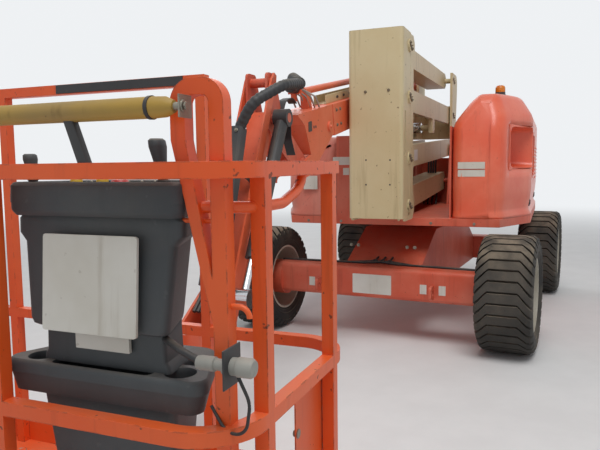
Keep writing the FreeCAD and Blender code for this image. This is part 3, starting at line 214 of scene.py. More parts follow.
def noise(tree, coordinates, scale, detail=3, stretch=None):
    """Cloud noise on object coordinates, drawn out by stretch along the axes."""
    if stretch:
        coordinates = add(tree, "Mapping", {"Vector": coordinates, "Scale": stretch}).outputs[0]
    inputs = {"Vector": coordinates, "Scale": scale, "Detail": detail, "Roughness": 0.6}
    return add(tree, "TexNoise", inputs).outputs[0]


def new_group(name, inputs, outputs):
    """A shader node group with its named sockets, and its input and output nodes."""
    group = bpy.data.node_groups.new(name, "ShaderNodeTree")
    for socket, kind, default in inputs:
        made = group.interface.new_socket(socket, in_out="INPUT", socket_type="NodeSocket" + kind)
        made.default_value = default
    for socket, kind in outputs:
        group.interface.new_socket(socket, in_out="OUTPUT", socket_type="NodeSocket" + kind)
    return group, group.nodes.new("NodeGroupInput").outputs, group.nodes.new("NodeGroupOutput").inputs


print("node helpers ready")

# %% [markdown]
# ## Floor, light and background
# A machine of painted steel looks right under one large soft light from above and a paler fill from all round,
# as under a bright overcast sky. The background's colour comes from the rays that the camera sends, so it can
# be near white without adding light to the machine.

# %% Light the studio
scene = bpy.context.scene
scene.view_settings.view_transform = "Standard"
SKY_FILL = 0.33
KEY_ENERGY = 430
BACKDROP = (0.86, 0.88, 0.9, 1)

world = scene.world or bpy.data.worlds.new("studio")
scene.world = world
tree = clear_nodes(world)
fill = add(tree, "Background", {"Color": (0.93, 0.96, 1.0, 1), "Strength": SKY_FILL})
seen = add(tree, "Background", {"Color": BACKDROP})
rays = add(tree, "LightPath").outputs
direct = math_of(tree, "MAXIMUM", rays["Is Camera Ray"], rays["Is Transmission Ray"])
direct = math_of(tree, "MAXIMUM", direct, rays["Is Glossy Ray"])
choose = add(tree, "MixShader", {0: direct, 1: fill.outputs[0], 2: seen.outputs[0]})
tree.links.new(choose.outputs[0], add(tree, "OutputWorld").inputs["Surface"])


def softbox(name, place, target, size, energy):
    """A square area light at place that faces target."""
    lamp = bpy.data.lights.new(name, "AREA")
    lamp.shape = "SQUARE"
    lamp.size = size
    lamp.energy = energy
    box = bpy.data.objects.new(name, lamp)
    back = np.array(place, float) - target
    back /= np.linalg.norm(back)
    side = np.cross([0, 0, 1], back)
    side /= np.linalg.norm(side)
    matrix = np.eye(4)
    matrix[:3, 0], matrix[:3, 1], matrix[:3, 2], matrix[:3, 3] = side, np.cross(back, side), back, place
    box.matrix_world = Matrix(matrix.tolist())
    scene.collection.objects.link(box)
    return box


softbox("key", (4.0, 1.8, 8.6), (-0.5, 0, 1), 4.5, KEY_ENERGY)
softbox("rear fill", (-6.5, -5.0, 6.0), (-0.5, 0, 1), 5.0, KEY_ENERGY * 0.3)
print("sky fill", SKY_FILL, "and a key of", KEY_ENERGY, "W")

# %% [markdown]
# ## Shapes as arrays
# Nearly every piece below is either a profile carried along a path, a turned profile, or a flat outline with a
# thickness. Each helper works out all its points at once and returns them with the faces that join them, and
# `make` puts any number of such shapes into one named mesh that rides on a body of the frame.

# %% Shape helpers
def grid(points, wrap_rows=False, wrap_columns=True, cap=True):
    """Quads between a table of points: row i, column j joins row i+1 and column j+1, and the last the first where
    it wraps."""
    points = np.asarray(points, float)
    rows, columns = points.shape[:2]
    index = np.arange(rows * columns).reshape(rows, columns)
    if wrap_rows:
        index = np.vstack([index, index[:1]])
    if wrap_columns:
        index = np.hstack([index, index[:, :1]])
    quads = np.stack([index[:-1, :-1], index[:-1, 1:], index[1:, 1:], index[1:, :-1]], -1).reshape(-1, 4)
    faces = quads.tolist()
    if cap and wrap_columns and not wrap_rows:
        faces += [index[0, :-1][::-1].tolist(), index[-1, :-1].tolist()]
    return points.reshape(-1, 3), faces


def arc_path(corners, radius, steps=6, closed=False):
    """A polyline with each corner replaced by an arc, which starts and ends radius·tan(turn/2) from the corner."""
    corners = np.asarray(corners, float)
    count = len(corners)
    radii = np.broadcast_to(radius, (count,))
    path = []
    for i in range(count):
        if not closed and i in (0, count - 1):
            path.append(corners[i][None])
            continue
        here = corners[i]
        a = corners[i - 1] - here
        b = corners[(i + 1) % count] - here
        reach = min(np.linalg.norm(a), np.linalg.norm(b)) / 2.001
        a, b = a / np.linalg.norm(a), b / np.linalg.norm(b)
        half = math.acos(np.clip(a @ b, -1, 1)) / 2
        if radii[i] <= 0 or half > 1.56:
            path.append(here[None])
            continue
        back = min(radii[i] / math.tan(half), reach)
        bend = back * math.tan(half)
        middle = here + (a + b) / np.linalg.norm(a + b) * bend / math.sin(half)
        start, end = here + a * back - middle, here + b * back - middle
        turn = math.pi - 2 * half
        t = np.linspace(0, turn, steps + 1)[:, None]
        path.append(middle + (start * np.sin(turn - t) + end * np.sin(t)) / math.sin(turn))
    return np.vstack(path)


def sweep(path, profile, up=(0, 0, 1), closed=False, cap=True):
    """A profile (sideways, up) carried along a path: each ring is point + side·x + normal·y, with the side and
    normal square to the path's mean direction there and stretched where it turns, so that a mitre keeps its size."""
    path, profile = np.asarray(path, float), np.asarray(profile, float)
    step = np.roll(path, -1, 0) - path
    if not closed:
        step[-1] = step[-2]
    step /= np.linalg.norm(step, axis=1)[:, None]
    before = np.roll(step, 1, 0)
    if not closed:
        before[0] = step[0]
    mean = step + before
    mean /= np.linalg.norm(mean, axis=1)[:, None]
    up = np.broadcast_to(np.asarray(up, float), path.shape)
    side = np.cross(mean, up)
    side /= np.linalg.norm(side, axis=1)[:, None]
    normal = np.cross(side, mean)
    stretch = 1 / np.clip(np.einsum("ij,ij->i", mean, step), 0.3, 1)
    bend = np.cross(before, step)
    flat = np.abs(np.einsum("ij,ij->i", bend, normal)) >= np.abs(np.einsum("ij,ij->i", bend, side))
    wide = np.where(flat, stretch, 1)[:, None, None]
    tall = np.where(flat, 1, stretch)[:, None, None]
    rings = path[:, None] + side[:, None] * profile[None, :, :1] * wide + normal[:, None] * profile[None, :,
                                                                                                    1:] * tall
    return grid(rings, wrap_rows=closed, cap=cap)


def turned(profile, centre, axis, count=32, cap=True):
    """A profile of (radius, height) turned about an axis: centre + axis·height + radius·(cos, sin) round it."""
    profile = np.asarray(profile, float)
    axis = np.asarray(axis, float) / np.linalg.norm(axis)
    first = np.cross(axis, [0, 0, 1] if abs(axis[2]) < 0.9 else [1, 0, 0])
    first /= np.linalg.norm(first)
    second = np.cross(axis, first)
    angle = np.linspace(0, 2 * math.pi, count, endpoint=False)
    spokes = np.cos(angle)[:, None] * first + np.sin(angle)[:, None] * second
    rings = np.asarray(centre, float) + axis * profile[:, 1, None, None] + spokes * profile[:, 0, None, None]
    return grid(rings, cap=cap)


def slab(outline, thickness):
    """A flat outline of points and the same outline moved by a thickness vector, joined round the edge."""
    outline = np.asarray(outline, float)
    return grid(np.stack([outline, outline + np.asarray(thickness, float)]))


def block(low, high):
    """A box between two corners."""
    (x0, y0, z0), (x1, y1, z1) = low, high
    return slab([(x0, y0, z0), (x1, y0, z0), (x1, y1, z0), (x0, y1, z0)], (0, 0, z1 - z0))


def circle(radius, count=20, squash=1.0):
    """Points round a circle, or an oval where squash isn't 1."""
    angle = np.linspace(0, 2 * math.pi, count, endpoint=False)
    return np.stack([radius * np.cos(angle), radius * squash * np.sin(angle)], 1)


def tube_profile(width, height, corner, steps=3):
    """A square tube's outline with rounded corners, as (sideways, up) points."""
    x, y = width / 2, height / 2
    corners = [(-x, -y, 0), (x, -y, 0), (x, y, 0), (-x, y, 0)]
    return arc_path(corners, corner, steps, closed=True)[:, :2]


def placed(shape, origin, across, along):
    """A shape made round the world's origin, moved so that its x, y and z follow across, along and their normal."""
    points, faces = shape
    across, along = np.asarray(across, float), np.asarray(along, float)
    frame_of = np.stack([across, along, np.cross(across, along)])
    return points @ frame_of + origin, faces


def make(name, shapes, material, body, bevel=0.0, segments=2, sharp=35):
    """One mesh from a list of shapes, faces turned outwards, with an optional bevel, riding on a body."""
    points, faces, start = [], [], 0
    for shape_points, shape_faces in shapes:
        points.append(shape_points)
        faces += [[i + start for i in face] for face in shape_faces]
        start += len(shape_points)
    mesh = bpy.data.meshes.new(name)
    mesh.from_pydata(np.vstack(points).tolist(), [], faces)
    work = bmesh.new()
    work.from_mesh(mesh)
    bmesh.ops.remove_doubles(work, verts=work.verts, dist=1e-5)
    bmesh.ops.recalc_face_normals(work, faces=work.faces)
    work.to_mesh(mesh)
    work.free()
    return finish_piece(name, mesh, material, body, bevel, segments, sharp)


def finish_piece(name, mesh, material, body, bevel, segments, sharp):
    """Gives a mesh its object, material, shading and bevel, and lets it ride on its body."""
    mesh.shade_smooth()
    mesh.set_sharp_from_angle(angle=math.radians(sharp))
    piece = bpy.data.objects.new(name, mesh)
    scene.collection.objects.link(piece)
    mesh.materials.append(material)
    if bevel:
        rounding = piece.modifiers.new("rounded edges", "BEVEL")
        rounding.width = bevel
        rounding.segments = segments
        rounding.limit_method = "ANGLE"
        rounding.angle_limit = math.radians(30)
        rounding.harden_normals = True
    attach(piece, body)
    return piece


def soften(node, material, body, bevel=0.003, segments=2):
    """A copy of a CAD node's mesh with its doubles merged and its edges rounded, which stands for the node."""
    mesh = frame["nodes"][node].data.copy()
    work = bmesh.new()
    work.from_mesh(mesh)
    bmesh.ops.remove_doubles(work, verts=work.verts, dist=1e-5)
    bmesh.ops.dissolve_limit(work, angle_limit=math.radians(1), verts=work.verts, edges=work.edges)
    work.to_mesh(mesh)
    work.free()
    mesh.materials.clear()
    piece = finish_piece(node + "_finished", mesh, material, body, bevel, segments, 30)
    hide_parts(node)
    return piece


print("shape helpers: grid, arc_path, sweep, turned, slab, block, placed, make, soften")

# %% [markdown]
# ## Finishes
# A machine that lives outdoors shows the same few things on every paint: the sun bleaches it in broad clouds,
# rain draws dirt down it, edges lose their paint and flat tops hold dust. One node group works these out, and
# each material gives it its own colours and amounts.

# %% The weathering group
WHITE = (1, 1, 1, 1)
weathering, given, result = new_group(
    "weathering",
    [("Colour", "Color", WHITE), ("Bleached", "Color", WHITE), ("Bare", "Color", WHITE),
     ("Dust", "Color", WHITE),
     ("Bleach", "Float", 0.5), ("Streaks", "Float", 0.3), ("Chips", "Float", 0.5), ("Dustiness", "Float", 0.4),
     ("Gloss", "Float", 0.35), ("Grain", "Float", 60.0)],
    [("Colour", "Color"), ("Roughness", "Float"), ("Height", "Float")])
g = weathering
place = add(g, "TexCoord").outputs["Object"]
facing = add(g, "SeparateXYZ", {0: add(g, "NewGeometry").outputs["Normal"]}).outputs["Z"]
cloud = ramp(g, noise(g, place, 1.7, 5), 0.36, 0.68)
bleached = math_of(g, "MULTIPLY", cloud, given["Bleach"])
colour = mix(g, bleached, given["Colour"], given["Bleached"])
streak = ramp(g, noise(g, place, 1.0, 4, (22, 22, 1.3)), 0.54, 0.78)
upright_face = math_of(g, "SUBTRACT", 1.0, math_of(g, "ABSOLUTE", facing))
streak = math_of(g, "MULTIPLY", math_of(g, "MULTIPLY", streak, given["Streaks"]), upright_face)
colour = mix(g, streak, colour, given["Dust"], "MULTIPLY")
fine = noise(g, place, given["Grain"], 4)
speck = math_of(g, "MULTIPLY", ramp(g, noise(g, place, 38, 2), 0.69, 0.74), given["Chips"])
rounded = add(g, "Bevel", {"Radius": 0.006}, samples=4).outputs[0]
sharp = add(g, "VectorMath", {0: rounded, 1: add(g, "NewGeometry").outputs["Normal"]}, operation="DOT_PRODUCT")
edge = math_of(g, "SUBTRACT", 1.0, sharp.outputs["Value"])
edge = math_of(g, "MULTIPLY", ramp(g, edge, 0.02, 0.16), ramp(g, noise(g, place, 24, 6), 0.47, 0.6))
worn = math_of(g, "MINIMUM", math_of(g, "ADD", math_of(g, "MULTIPLY", edge, given["Chips"]), speck), 1.0)
colour = mix(g, worn, colour, given["Bare"])
settled = math_of(g, "MULTIPLY", ramp(g, facing, 0.35, 0.95), ramp(g, noise(g, place, 6, 5), 0.3, 0.75))
haze = math_of(g, "ADD", settled, math_of(g, "MULTIPLY", ramp(g, noise(g, place, 2.6, 6), 0.45, 0.8), 0.35))
dusty = math_of(g, "MULTIPLY", haze, given["Dustiness"])
colour = mix(g, dusty, colour, given["Dust"])
g.links.new(colour, result["Colour"])
rough = math_of(g, "ADD", given["Gloss"], math_of(g, "MULTIPLY", dusty, 0.4))
rough = math_of(g, "ADD", rough, math_of(g, "MULTIPLY", worn, 0.25))
g.links.new(math_of(g, "ADD", rough, math_of(g, "MULTIPLY", fine, 0.08)), result["Roughness"])
g.links.new(math_of(g, "SUBTRACT", fine, math_of(g, "MULTIPLY", worn, 0.8)), result["Height"])
print("weathering group of", len(g.nodes), "nodes")

# %% The materials
STEEL_GREY = srgb(92, 86, 80)
RUST = srgb(84, 52, 38)
ROAD_DUST = srgb(176, 160, 138)


def weathered(name, colour, bleached=None, bare=STEEL_GREY, dust=ROAD_DUST, bump=0.15, metallic=0.0, coat=0.0,
              **amounts):
    """A painted, moulded or plated finish: the weathering group feeds colour, roughness and bump."""
    material = bpy.data.materials.new(name)
    tree = clear_nodes(material)
    group = tree.nodes.new("ShaderNodeGroup")
    group.node_tree = weathering
    values = {"Colour": colour, "Bleached": bleached or colour, "Bare": bare, "Dust": dust, **amounts}
    for key, value in values.items():
        group.inputs[key].default_value = value
    bumped = add(tree, "Bump", {"Height": group.outputs["Height"], "Strength": bump, "Distance": 0.002})
    surface = add(tree, "BsdfPrincipled", {
        "Base Color": group.outputs["Colour"], "Roughness": group.outputs["Roughness"],
        "Normal": bumped.outputs[0], "Metallic": metallic, "Coat Weight": coat, "Coat Roughness": 0.25})
    tree.links.new(surface.outputs[0], add(tree, "OutputMaterial").inputs["Surface"])
    material.diffuse_color = colour
    return material


rail_paint = weathered("rail_paint", srgb(232, 90, 30), srgb(238, 108, 50), RUST, Bleach=0.6, Streaks=0.35,
                       Chips=0.8, Dustiness=0.16, Gloss=0.36, bump=0.2)
boom_paint = weathered("boom_paint", srgb(222, 92, 52), srgb(236, 124, 92), RUST, Bleach=0.7, Streaks=0.3,
                       Chips=0.6, Dustiness=0.2, Gloss=0.34)
body_paint = weathered("body_paint", srgb(206, 84, 56), srgb(222, 122, 98), RUST, Bleach=0.8, Streaks=0.4,
                       Chips=0.5, Dustiness=0.22, Gloss=0.42)
hood_paint = weathered("hood_paint", srgb(228, 92, 58), srgb(238, 130, 100), RUST, Bleach=0.7, Streaks=0.3,
                       Chips=0.25, Dustiness=0.14, Gloss=0.3, coat=0.2)
tank_paint = weathered("tank_paint", srgb(206, 104, 84), srgb(222, 140, 122), RUST, Bleach=0.9, Streaks=0.3,
                       Chips=0.2, Dustiness=0.25, Gloss=0.42)
tower_paint = weathered("tower_paint", srgb(202, 184, 142), srgb(212, 198, 160), RUST, Bleach=0.6, Streaks=0.45,
                        Chips=0.7, Dustiness=0.2, Gloss=0.4)
black_steel = weathered("black_steel", srgb(44, 45, 47), srgb(66, 66, 66), Bleach=0.5, Streaks=0.3, Chips=0.4,
                        Dustiness=0.35, Gloss=0.45)
dark_casting = weathered("dark_casting", srgb(82, 78, 72), srgb(112, 104, 94), RUST, Bleach=0.7, Streaks=0.4,
                         Chips=0.5, Dustiness=0.55, Gloss=0.55, bump=0.4, metallic=0.2)
tyre_rubber = weathered("tyre_rubber", srgb(29, 28, 27), srgb(70, 66, 60), srgb(40, 38, 37), Bleach=0.85,
                        Streaks=0.2, Chips=0.3, Dustiness=0.62, Gloss=0.78, Grain=90.0, bump=0.5)
rim_paint = weathered("rim_paint", srgb(186, 180, 166), srgb(206, 202, 190), RUST, Bleach=0.7, Streaks=0.5,
                      Chips=0.7, Dustiness=0.45, Gloss=0.5)
console_plastic = weathered("console_plastic", srgb(56, 60, 63), srgb(78, 82, 84), srgb(94, 96, 96), Bleach=0.6,
                            Streaks=0.2, Chips=0.35, Dustiness=0.3, Gloss=0.5, Grain=420.0, bump=0.25)
yellow_paint = weathered("yellow_paint", srgb(176, 142, 62), srgb(148, 124, 80), srgb(96, 80, 52),
                         srgb(128, 112, 84), Bleach=0.9, Streaks=0.7, Chips=0.9, Dustiness=0.45, Gloss=0.5)
zinc = weathered("zinc_fastener", srgb(150, 146, 134), srgb(120, 112, 96), RUST, Bleach=0.8, Streaks=0.3,
                 Chips=0.6, Dustiness=0.3, Gloss=0.38, metallic=0.75)
pin_steel = weathered("pin_steel", srgb(136, 124, 104), srgb(100, 88, 70), RUST, Bleach=0.8, Streaks=0.4,
                      Chips=0.7, Dustiness=0.35, Gloss=0.45, metallic=0.6)
rod_chrome = weathered("rod_chrome", srgb(206, 208, 210), srgb(188, 190, 192), Bleach=0.3, Streaks=0.1,
                       Chips=0.0,
                       Dustiness=0.06, Gloss=0.12, metallic=1.0, bump=0.02)
hose_rubber = weathered("hose_rubber", srgb(30, 31, 33), srgb(52, 52, 54), srgb(90, 88, 84), Bleach=0.6,
                        Streaks=0.1, Chips=0.2, Dustiness=0.3, Gloss=0.5, bump=0.3)
pale_hose = weathered("pale_hose", srgb(168, 168, 160), srgb(128, 126, 120), Bleach=0.7, Streaks=0.2, Chips=0.2,
                      Dustiness=0.3, Gloss=0.5)
panel_metal = weathered("panel_metal", srgb(190, 194, 198), srgb(164, 166, 168), Bleach=0.5, Streaks=0.1,
                        Chips=0.3, Dustiness=0.25, Gloss=0.32, metallic=0.7)
blank_plate = weathered("blank_plate", srgb(222, 220, 212), srgb(198, 192, 178), srgb(150, 140, 124),
                        Bleach=0.7,
                        Streaks=0.4, Chips=0.3, Dustiness=0.22, Gloss=0.4, bump=0.05)
red_plastic = weathered("red_plastic", srgb(196, 42, 34), Chips=0.1, Dustiness=0.1, Gloss=0.3)
yellow_plastic = weathered("yellow_plastic", srgb(224, 186, 60), Chips=0.1, Dustiness=0.15, Gloss=0.32)
deck_metal = weathered("deck_metal", srgb(134, 132, 126), srgb(110, 104, 94), RUST, Bleach=0.8, Streaks=0.1,
                       Chips=0.6, Dustiness=0.4, Gloss=0.45, metallic=0.6)

amber = bpy.data.materials.new("amber_lens")
tree = clear_nodes(amber)
ribs = add(tree, "TexWave", {"Vector": add(tree, "TexCoord").outputs["Object"], "Scale": 60.0},
           bands_direction="Z").outputs[0]
tint = mix(tree, ramp(tree, noise(tree, tree.nodes["Texture Coordinate"].outputs["Object"], 9), 0.3, 0.7),
           srgb(246, 150, 30), srgb(226, 122, 20))
lens = add(tree, "BsdfPrincipled", {"Base Color": tint, "Roughness": 0.2, "Transmission Weight": 0.35,
                                    "IOR": 1.49,
                                    "Normal": add(tree, "Bump", {"Height": ribs, "Strength": 0.3}).outputs[0]})
tree.links.new(lens.outputs[0], add(tree, "OutputMaterial").inputs["Surface"])
print(len(bpy.data.materials), "materials")

# %% [markdown]
# ## The frame's own solids
# Where a solid already has the real shape, it only needs its finish. A copy with every edge rounded by a few
# millimetres stands for it, because no welded or folded steel edge is perfectly sharp, and the rounding is what
# catches the light.

# %% Finish the solids
FINISHES = {
    boom_paint: ["main_boom", "fly_boom", "push_tube", "jib_arm", "jib_link", "jib_end", "rotator"],
    rail_paint: ["platform_rails", "entry_gate", "platform_floor"],
    body_paint: ["chassis_frame", "fixed_axle", "steer_axle", "turntable_frame", "counterweight", "jib_base"],
    tower_paint: ["tower_upright", "boom_mount", "tower_upper_arm", "tower_lower_arm", "tower_upper_link",
                  "tower_lower_link", "hose_tray"],
    black_steel: ["main_cylinder", "jib_cylinder", "tower_cylinder"],
    dark_casting: ["knuckle_left", "knuckle_right", "steer_link", "engine_block"],
    rod_chrome: ["tower_rod", "main_rod", "jib_rod"],
}
EDGE = 0.0035


def body_of_node(node):
    """The name of the body that a CAD node rides on."""
    return body_of(frame["nodes"][node])[0]


for material, names in FINISHES.items():
    for node in names:
        soften(node, material, body_of_node(node), EDGE)
PLAIN = {tyre_rubber: "tyre", rim_paint: "rim", hood_paint: "hood_engine", tank_paint: "hood_tank",
         console_plastic: "console", amber: "beacon", yellow_paint: "guard_bar", black_steel: "ground_controls"}
for node, solid in frame["nodes"].items():
    for material, start in PLAIN.items():
        if node.startswith(start) or (node == "storage_tray" and material is console_plastic):
            solid.data.materials.clear()
            solid.data.materials.append(material)
print(sum(map(len, FINISHES.values())), "solids softened")

# %% [markdown]
# ## Tyres and wheels
# The tyre's tread is a row of wide bars that run straight over the middle and bend back towards both shoulders.
# One bar is a trapezoid carried across the tread on a path that bends at a third of its width, and the wheel
# has one every eight centimetres. The side wall is a turned profile with a bead, a bulge and a few thin ribs.

# %% Measure the wheels
tyre_low, tyre_high = map(np.array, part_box("tyre_fixed_right"))
TYRE_R = (tyre_high[2] - tyre_low[2]) / 2
TURN = math.atan2(joints["wheel_fixed_right"]["axis"][0], joints["wheel_fixed_right"]["axis"][1])
TYRE_W = (tyre_high[1] - tyre_low[1] - 2 * TYRE_R * abs(math.sin(TURN))) / math.cos(TURN)
RIM_R = (np.array(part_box("rim_fixed_right")[1]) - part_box("rim_fixed_right")[0])[2] / 2
LUGS = 34
print("tyre", round(2 * TYRE_R, 3), "m over its lugs,", round(TYRE_W, 3), "wide, rim", round(2 * RIM_R, 3))


# %% Build the tyres
def carcass():
    """Side walls and tread base, turned about the axle: (radius, place across) from one bead round to the other."""
    half = TYRE_W / 2
    side = np.array([(RIM_R - 0.004, 0.88), (RIM_R + 0.012, 0.9), (RIM_R + 0.018, 0.93), (RIM_R + 0.04, 0.965),
                     (RIM_R + 0.043, 0.985), (RIM_R + 0.049, 0.985), (RIM_R + 0.052, 0.975),
                     (TYRE_R * 0.78, 1.0), (TYRE_R * 0.83, 0.995), (TYRE_R * 0.88, 0.975),
                     (TYRE_R * 0.905, 0.94),
                     (TYRE_R * 0.925, 0.8), (TYRE_R * 0.94, 0.4)])
    profile = np.vstack([side, side[::-1] * (1, -1)])
    return turned(profile * (1, half), (0, 0, 0), (0, 1, 0), 72, cap=False)


def lugs():
    """Bars of the tread: each section has its base and top corners at ±half-widths round u(v), where u grows
    with |v| past the middle third, and the section stands at angle u/R round the wheel and v across it."""
    half = TYRE_W / 2
    v = np.array([-1.0, -0.93, -0.8, -0.56, -0.5, 0.5, 0.56, 0.8, 0.93, 1.0]) * half
    past = np.clip(np.abs(v) - half * 0.52, 0, None)
    u = past * 1.15
    top = np.interp(np.abs(v) / half, [0, 0.8, 0.93, 1], [1, 0.99, 0.955, 0.88]) * TYRE_R
    wide = np.interp(np.abs(v) / half, [0, 0.56, 1], [0.031, 0.034, 0.027])
    base = np.full_like(v, TYRE_R * 0.86)
    rise = np.stack([base, top, top, base], 1)
    along = u[:, None] + wide[:, None] * np.array([-1.12, -0.94, 0.94, 1.12])
    shapes = []
    for k in range(LUGS):
        angle = along / TYRE_R + 2 * math.pi * k / LUGS
        points = np.stack([rise * np.sin(angle), np.broadcast_to(v[:, None], angle.shape),
                           rise * np.cos(angle)], -1)
        shapes.append(grid(points))
    return shapes


def wheel_axes(name):
    """A wheel's centre and its rolling and axle directions, from its joint."""
    axle = np.array(joints["wheel_" + name]["axis"])
    axle *= np.sign(axle[1])
    low, high = map(np.array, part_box("tyre_" + name))
    return (low + high) / 2, np.array([axle[1], -axle[0], 0]), axle


def hubs(side):
    """Wheel nuts on their circle, the hub cap's bolts and a raised ring round the wheel disc."""
    face = side * 0.05
    ring = np.array([(0.148, 0), (0.152, 0.012), (0.16, 0.016), (0.2, 0.004), (0.225, -0.002), (0.238, 0)])
    shapes = [turned(ring * (1, side) + (0, face), (0, 0, 0), (0, 1, 0), 48, cap=False)]
    for count, radius, size, start, reach in ((9, 0.134, 0.016, face, 0.026),
                                              (6, 0.085, 0.009, side * 0.12, 0.01)):
        nut = np.array([(0.001, 0), (size, 0), (size, 0.8), (size * 0.82, 1), (0.001, 1)]) * (1, reach * side)
        for k in range(count):
            angle = 2 * math.pi * (k + 0.5) / count
            place = (radius * math.cos(angle), start, radius * math.sin(angle))
            shapes.append(turned(nut, place, (0, 1, 0), 6))
    return shapes


for wheel in ("fixed_left", "fixed_right", "steer_left", "steer_right"):
    centre, rolling, axle = wheel_axes(wheel)
    body = body_of_node("tyre_" + wheel)
    side = 1 if wheel.endswith("right") else -1
    shapes = [placed(shape, centre, rolling, axle) for shape in [carcass()] + lugs()]
    tyre = make("tyre_" + wheel + "_tread", shapes, tyre_rubber, body, 0.003, 1)
    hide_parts("tyre_" + wheel)
    make("hub_" + wheel, [placed(shape, centre, rolling, axle) for shape in hubs(side)], zinc, body, sharp=30)
print("4 tyres with", LUGS, "bars each")

# %% [markdown]
# ## The hoods
# Each hood is one moulded shell. Its cross section is a rounded outline, and from the rear to the front that
# outline is narrowed where the corner is swept back and drawn in where the front face rolls over its edge.

# %% Hood shells
def extent(node):
    """A node's low and high corners, in metres."""
    return tuple(map(np.array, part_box(node)))


def spot(x, y, z):
    """A place given from the swing axis along the machine, across it and above the ground."""
    return np.array([SWING[0] + x, y, z])


hood_low, hood_high = extent("hood_engine")
tank_low, tank_high = extent("hood_tank")
panel_low, panel_high = extent("ground_controls")
NOSE_X = hood_high[0]
SWEPT_X = NOSE_X - 0.46
ROLL = 0.075
SKIN = 0.006
CREASE_Z = hood_low[2] + 0.222
LAP = 0.004
PANEL_HOLE = np.array([panel_low[0] - 0.03, panel_high[0] + 0.04, panel_low[2] - 0.03, panel_high[2] + 0.05])
SCOOP = np.array([panel_high[0] + 0.12, NOSE_X - 0.12, PANEL_HOLE[2] + 0.07, PANEL_HOLE[3] + 0.045])
HOLES = (PANEL_HOLE, SCOOP)


def smooth(x, low, high):
    """0 below low, 1 above high and t²(3 − 2t) between."""
    t = np.clip((x - low) / (high - low), 0, 1)
    return t * t * (3 - 2 * t)


def sweep_back(x, widest, pivot, swept):
    """The share of the half-width left at x: 1 behind the swept corner and (swept − pivot)/(widest − pivot) at
    the nose."""
    return 1 - np.clip((x - SWEPT_X) / (NOSE_X - SWEPT_X), 0, 1) * (widest - swept) / (widest - pivot)


def lean_back(x, z, top):
    """How far the front face leans back: 130 mm at the top, fading out along the swept corner."""
    return 0.13 * smooth(z, top - 0.34, top + 0.06) * smooth(x, SWEPT_X, NOSE_X)


def hood_shell(section, radii, side, pivot, swept, holes=()):
    """Rings of the section along x: across the pivot line the section narrows to `swept` at the nose, and the last
    rings follow x = nose − r(1 − sin t) while the outline moves in by r(1 − cos t)."""
    outline = arc_path([(y, z, 0) for y, z in section], radii, 6)[:, :2]
    step = np.gradient(outline, axis=0)
    inward = np.stack([step[:, 1], -step[:, 0]], 1)
    inward /= np.linalg.norm(inward, axis=1)[:, None]
    inward[[0, -1], 1] = 0
    stations = [hood_low[0], hood_low[0] + 0.012, -0.7 + SWING[0], -0.3 + SWING[0]]
    stations += [x for hole in holes for x in hole[:2]] or [SWING[0]]
    stations = sorted(stations + list(np.linspace(SWEPT_X, NOSE_X - ROLL, 8)))
    turn = np.linspace(0, math.pi / 2, 7)[1:]
    x = np.concatenate([stations, NOSE_X - ROLL * (1 - np.sin(turn))])
    inset = np.concatenate([[0.012], np.zeros(len(stations) - 1), ROLL * (1 - np.cos(turn))])
    widest = outline[:, 0].max()
    share = sweep_back(x, widest, pivot, swept)
    tuck = 0.022 * (smooth(CREASE_Z - outline[:, 1], 0, 0.2) - smooth(hood_low[2] + 0.05 - outline[:, 1], 0,
                                                                      0.02))
    y = outline[:, 0] - tuck * (outline[:, 0] > pivot)
    rings = np.empty((len(x), len(outline), 3))
    rings[..., 1] = pivot + (y - pivot) * np.where(y[None] > pivot, share[:, None], 1)
    rings[..., 2] = outline[:, 1]
    rings[..., 1:] += inward * inset[:, None, None]
    rings[..., 2] = np.maximum(rings[..., 2], hood_low[2])
    top = outline[:, 1].max()
    rings[..., 0] = x[:, None] - lean_back(x[:, None], rings[..., 2], top)
    rings[..., 0] -= tuck * 0.8 * smooth(x[:, None], SWEPT_X, NOSE_X)
    rings[..., 1] *= side
    points, faces = grid(rings, wrap_columns=False, cap=False)
    columns = len(outline)
    middle = points[np.array(faces)].mean(1)
    inside = (np.abs(middle[:, 1]) < outline[:, 0].min() + 0.012) & (middle[:, 2] < hood_low[2] + 0.66)
    inside &= (middle[:, 0] < SWEPT_X - 0.1) & (len(holes) > 0)
    for low_x, high_x, low_z, high_z in holes:
        inside |= ((middle[:, 0] > low_x - 0.02) & (middle[:, 0] < high_x - 0.005)
                   & (middle[:, 1] * side > swept - 0.02)
                   & (middle[:, 2] > low_z) & (middle[:, 2] < high_z))
    faces = [face for face, gone in zip(faces, inside) if not gone]
    ends = [list(range(columns)), list(range(len(points) - columns, len(points)))]
    return points, faces + ends


def as_shell(piece, thickness=SKIN):
    """Gives a piece of one skin its wall thickness, inwards from the outer face."""
    wall = piece.modifiers.new("wall", "SOLIDIFY")
    wall.thickness = thickness
    wall.offset = -1
    return piece


PIVOT, SWEPT_Y, LOW_SWEPT_Y = 0.6, 0.8, 0.86
inner, outer, floor_z = hood_low[1] + 0.008, hood_high[1], hood_low[2]
side_z = [floor_z, floor_z + 0.02, floor_z + 0.045, floor_z + 0.07, floor_z + 0.15, CREASE_Z]
tall = [(inner, z) for z in side_z] + [(inner, 1.64), (0.61, hood_high[2]), (0.9, hood_high[2]), (outer, 1.7)]
tall += [(outer, z) for z in (SCOOP[3], PANEL_HOLE[3], SCOOP[2], PANEL_HOLE[2])] + [(outer,
                                                                                     z) for z in side_z[::-1]]
tall_radii = [0] * 6 + [0.16, 0.16, 0.1, 0.12, 0, 0, 0, 0] + [0] * 6
shell = hood_shell(tall, tall_radii, 1, PIVOT, SWEPT_Y, HOLES)
hood = as_shell(make("hood_engine_shell", [shell], hood_paint, "hood_engine"))

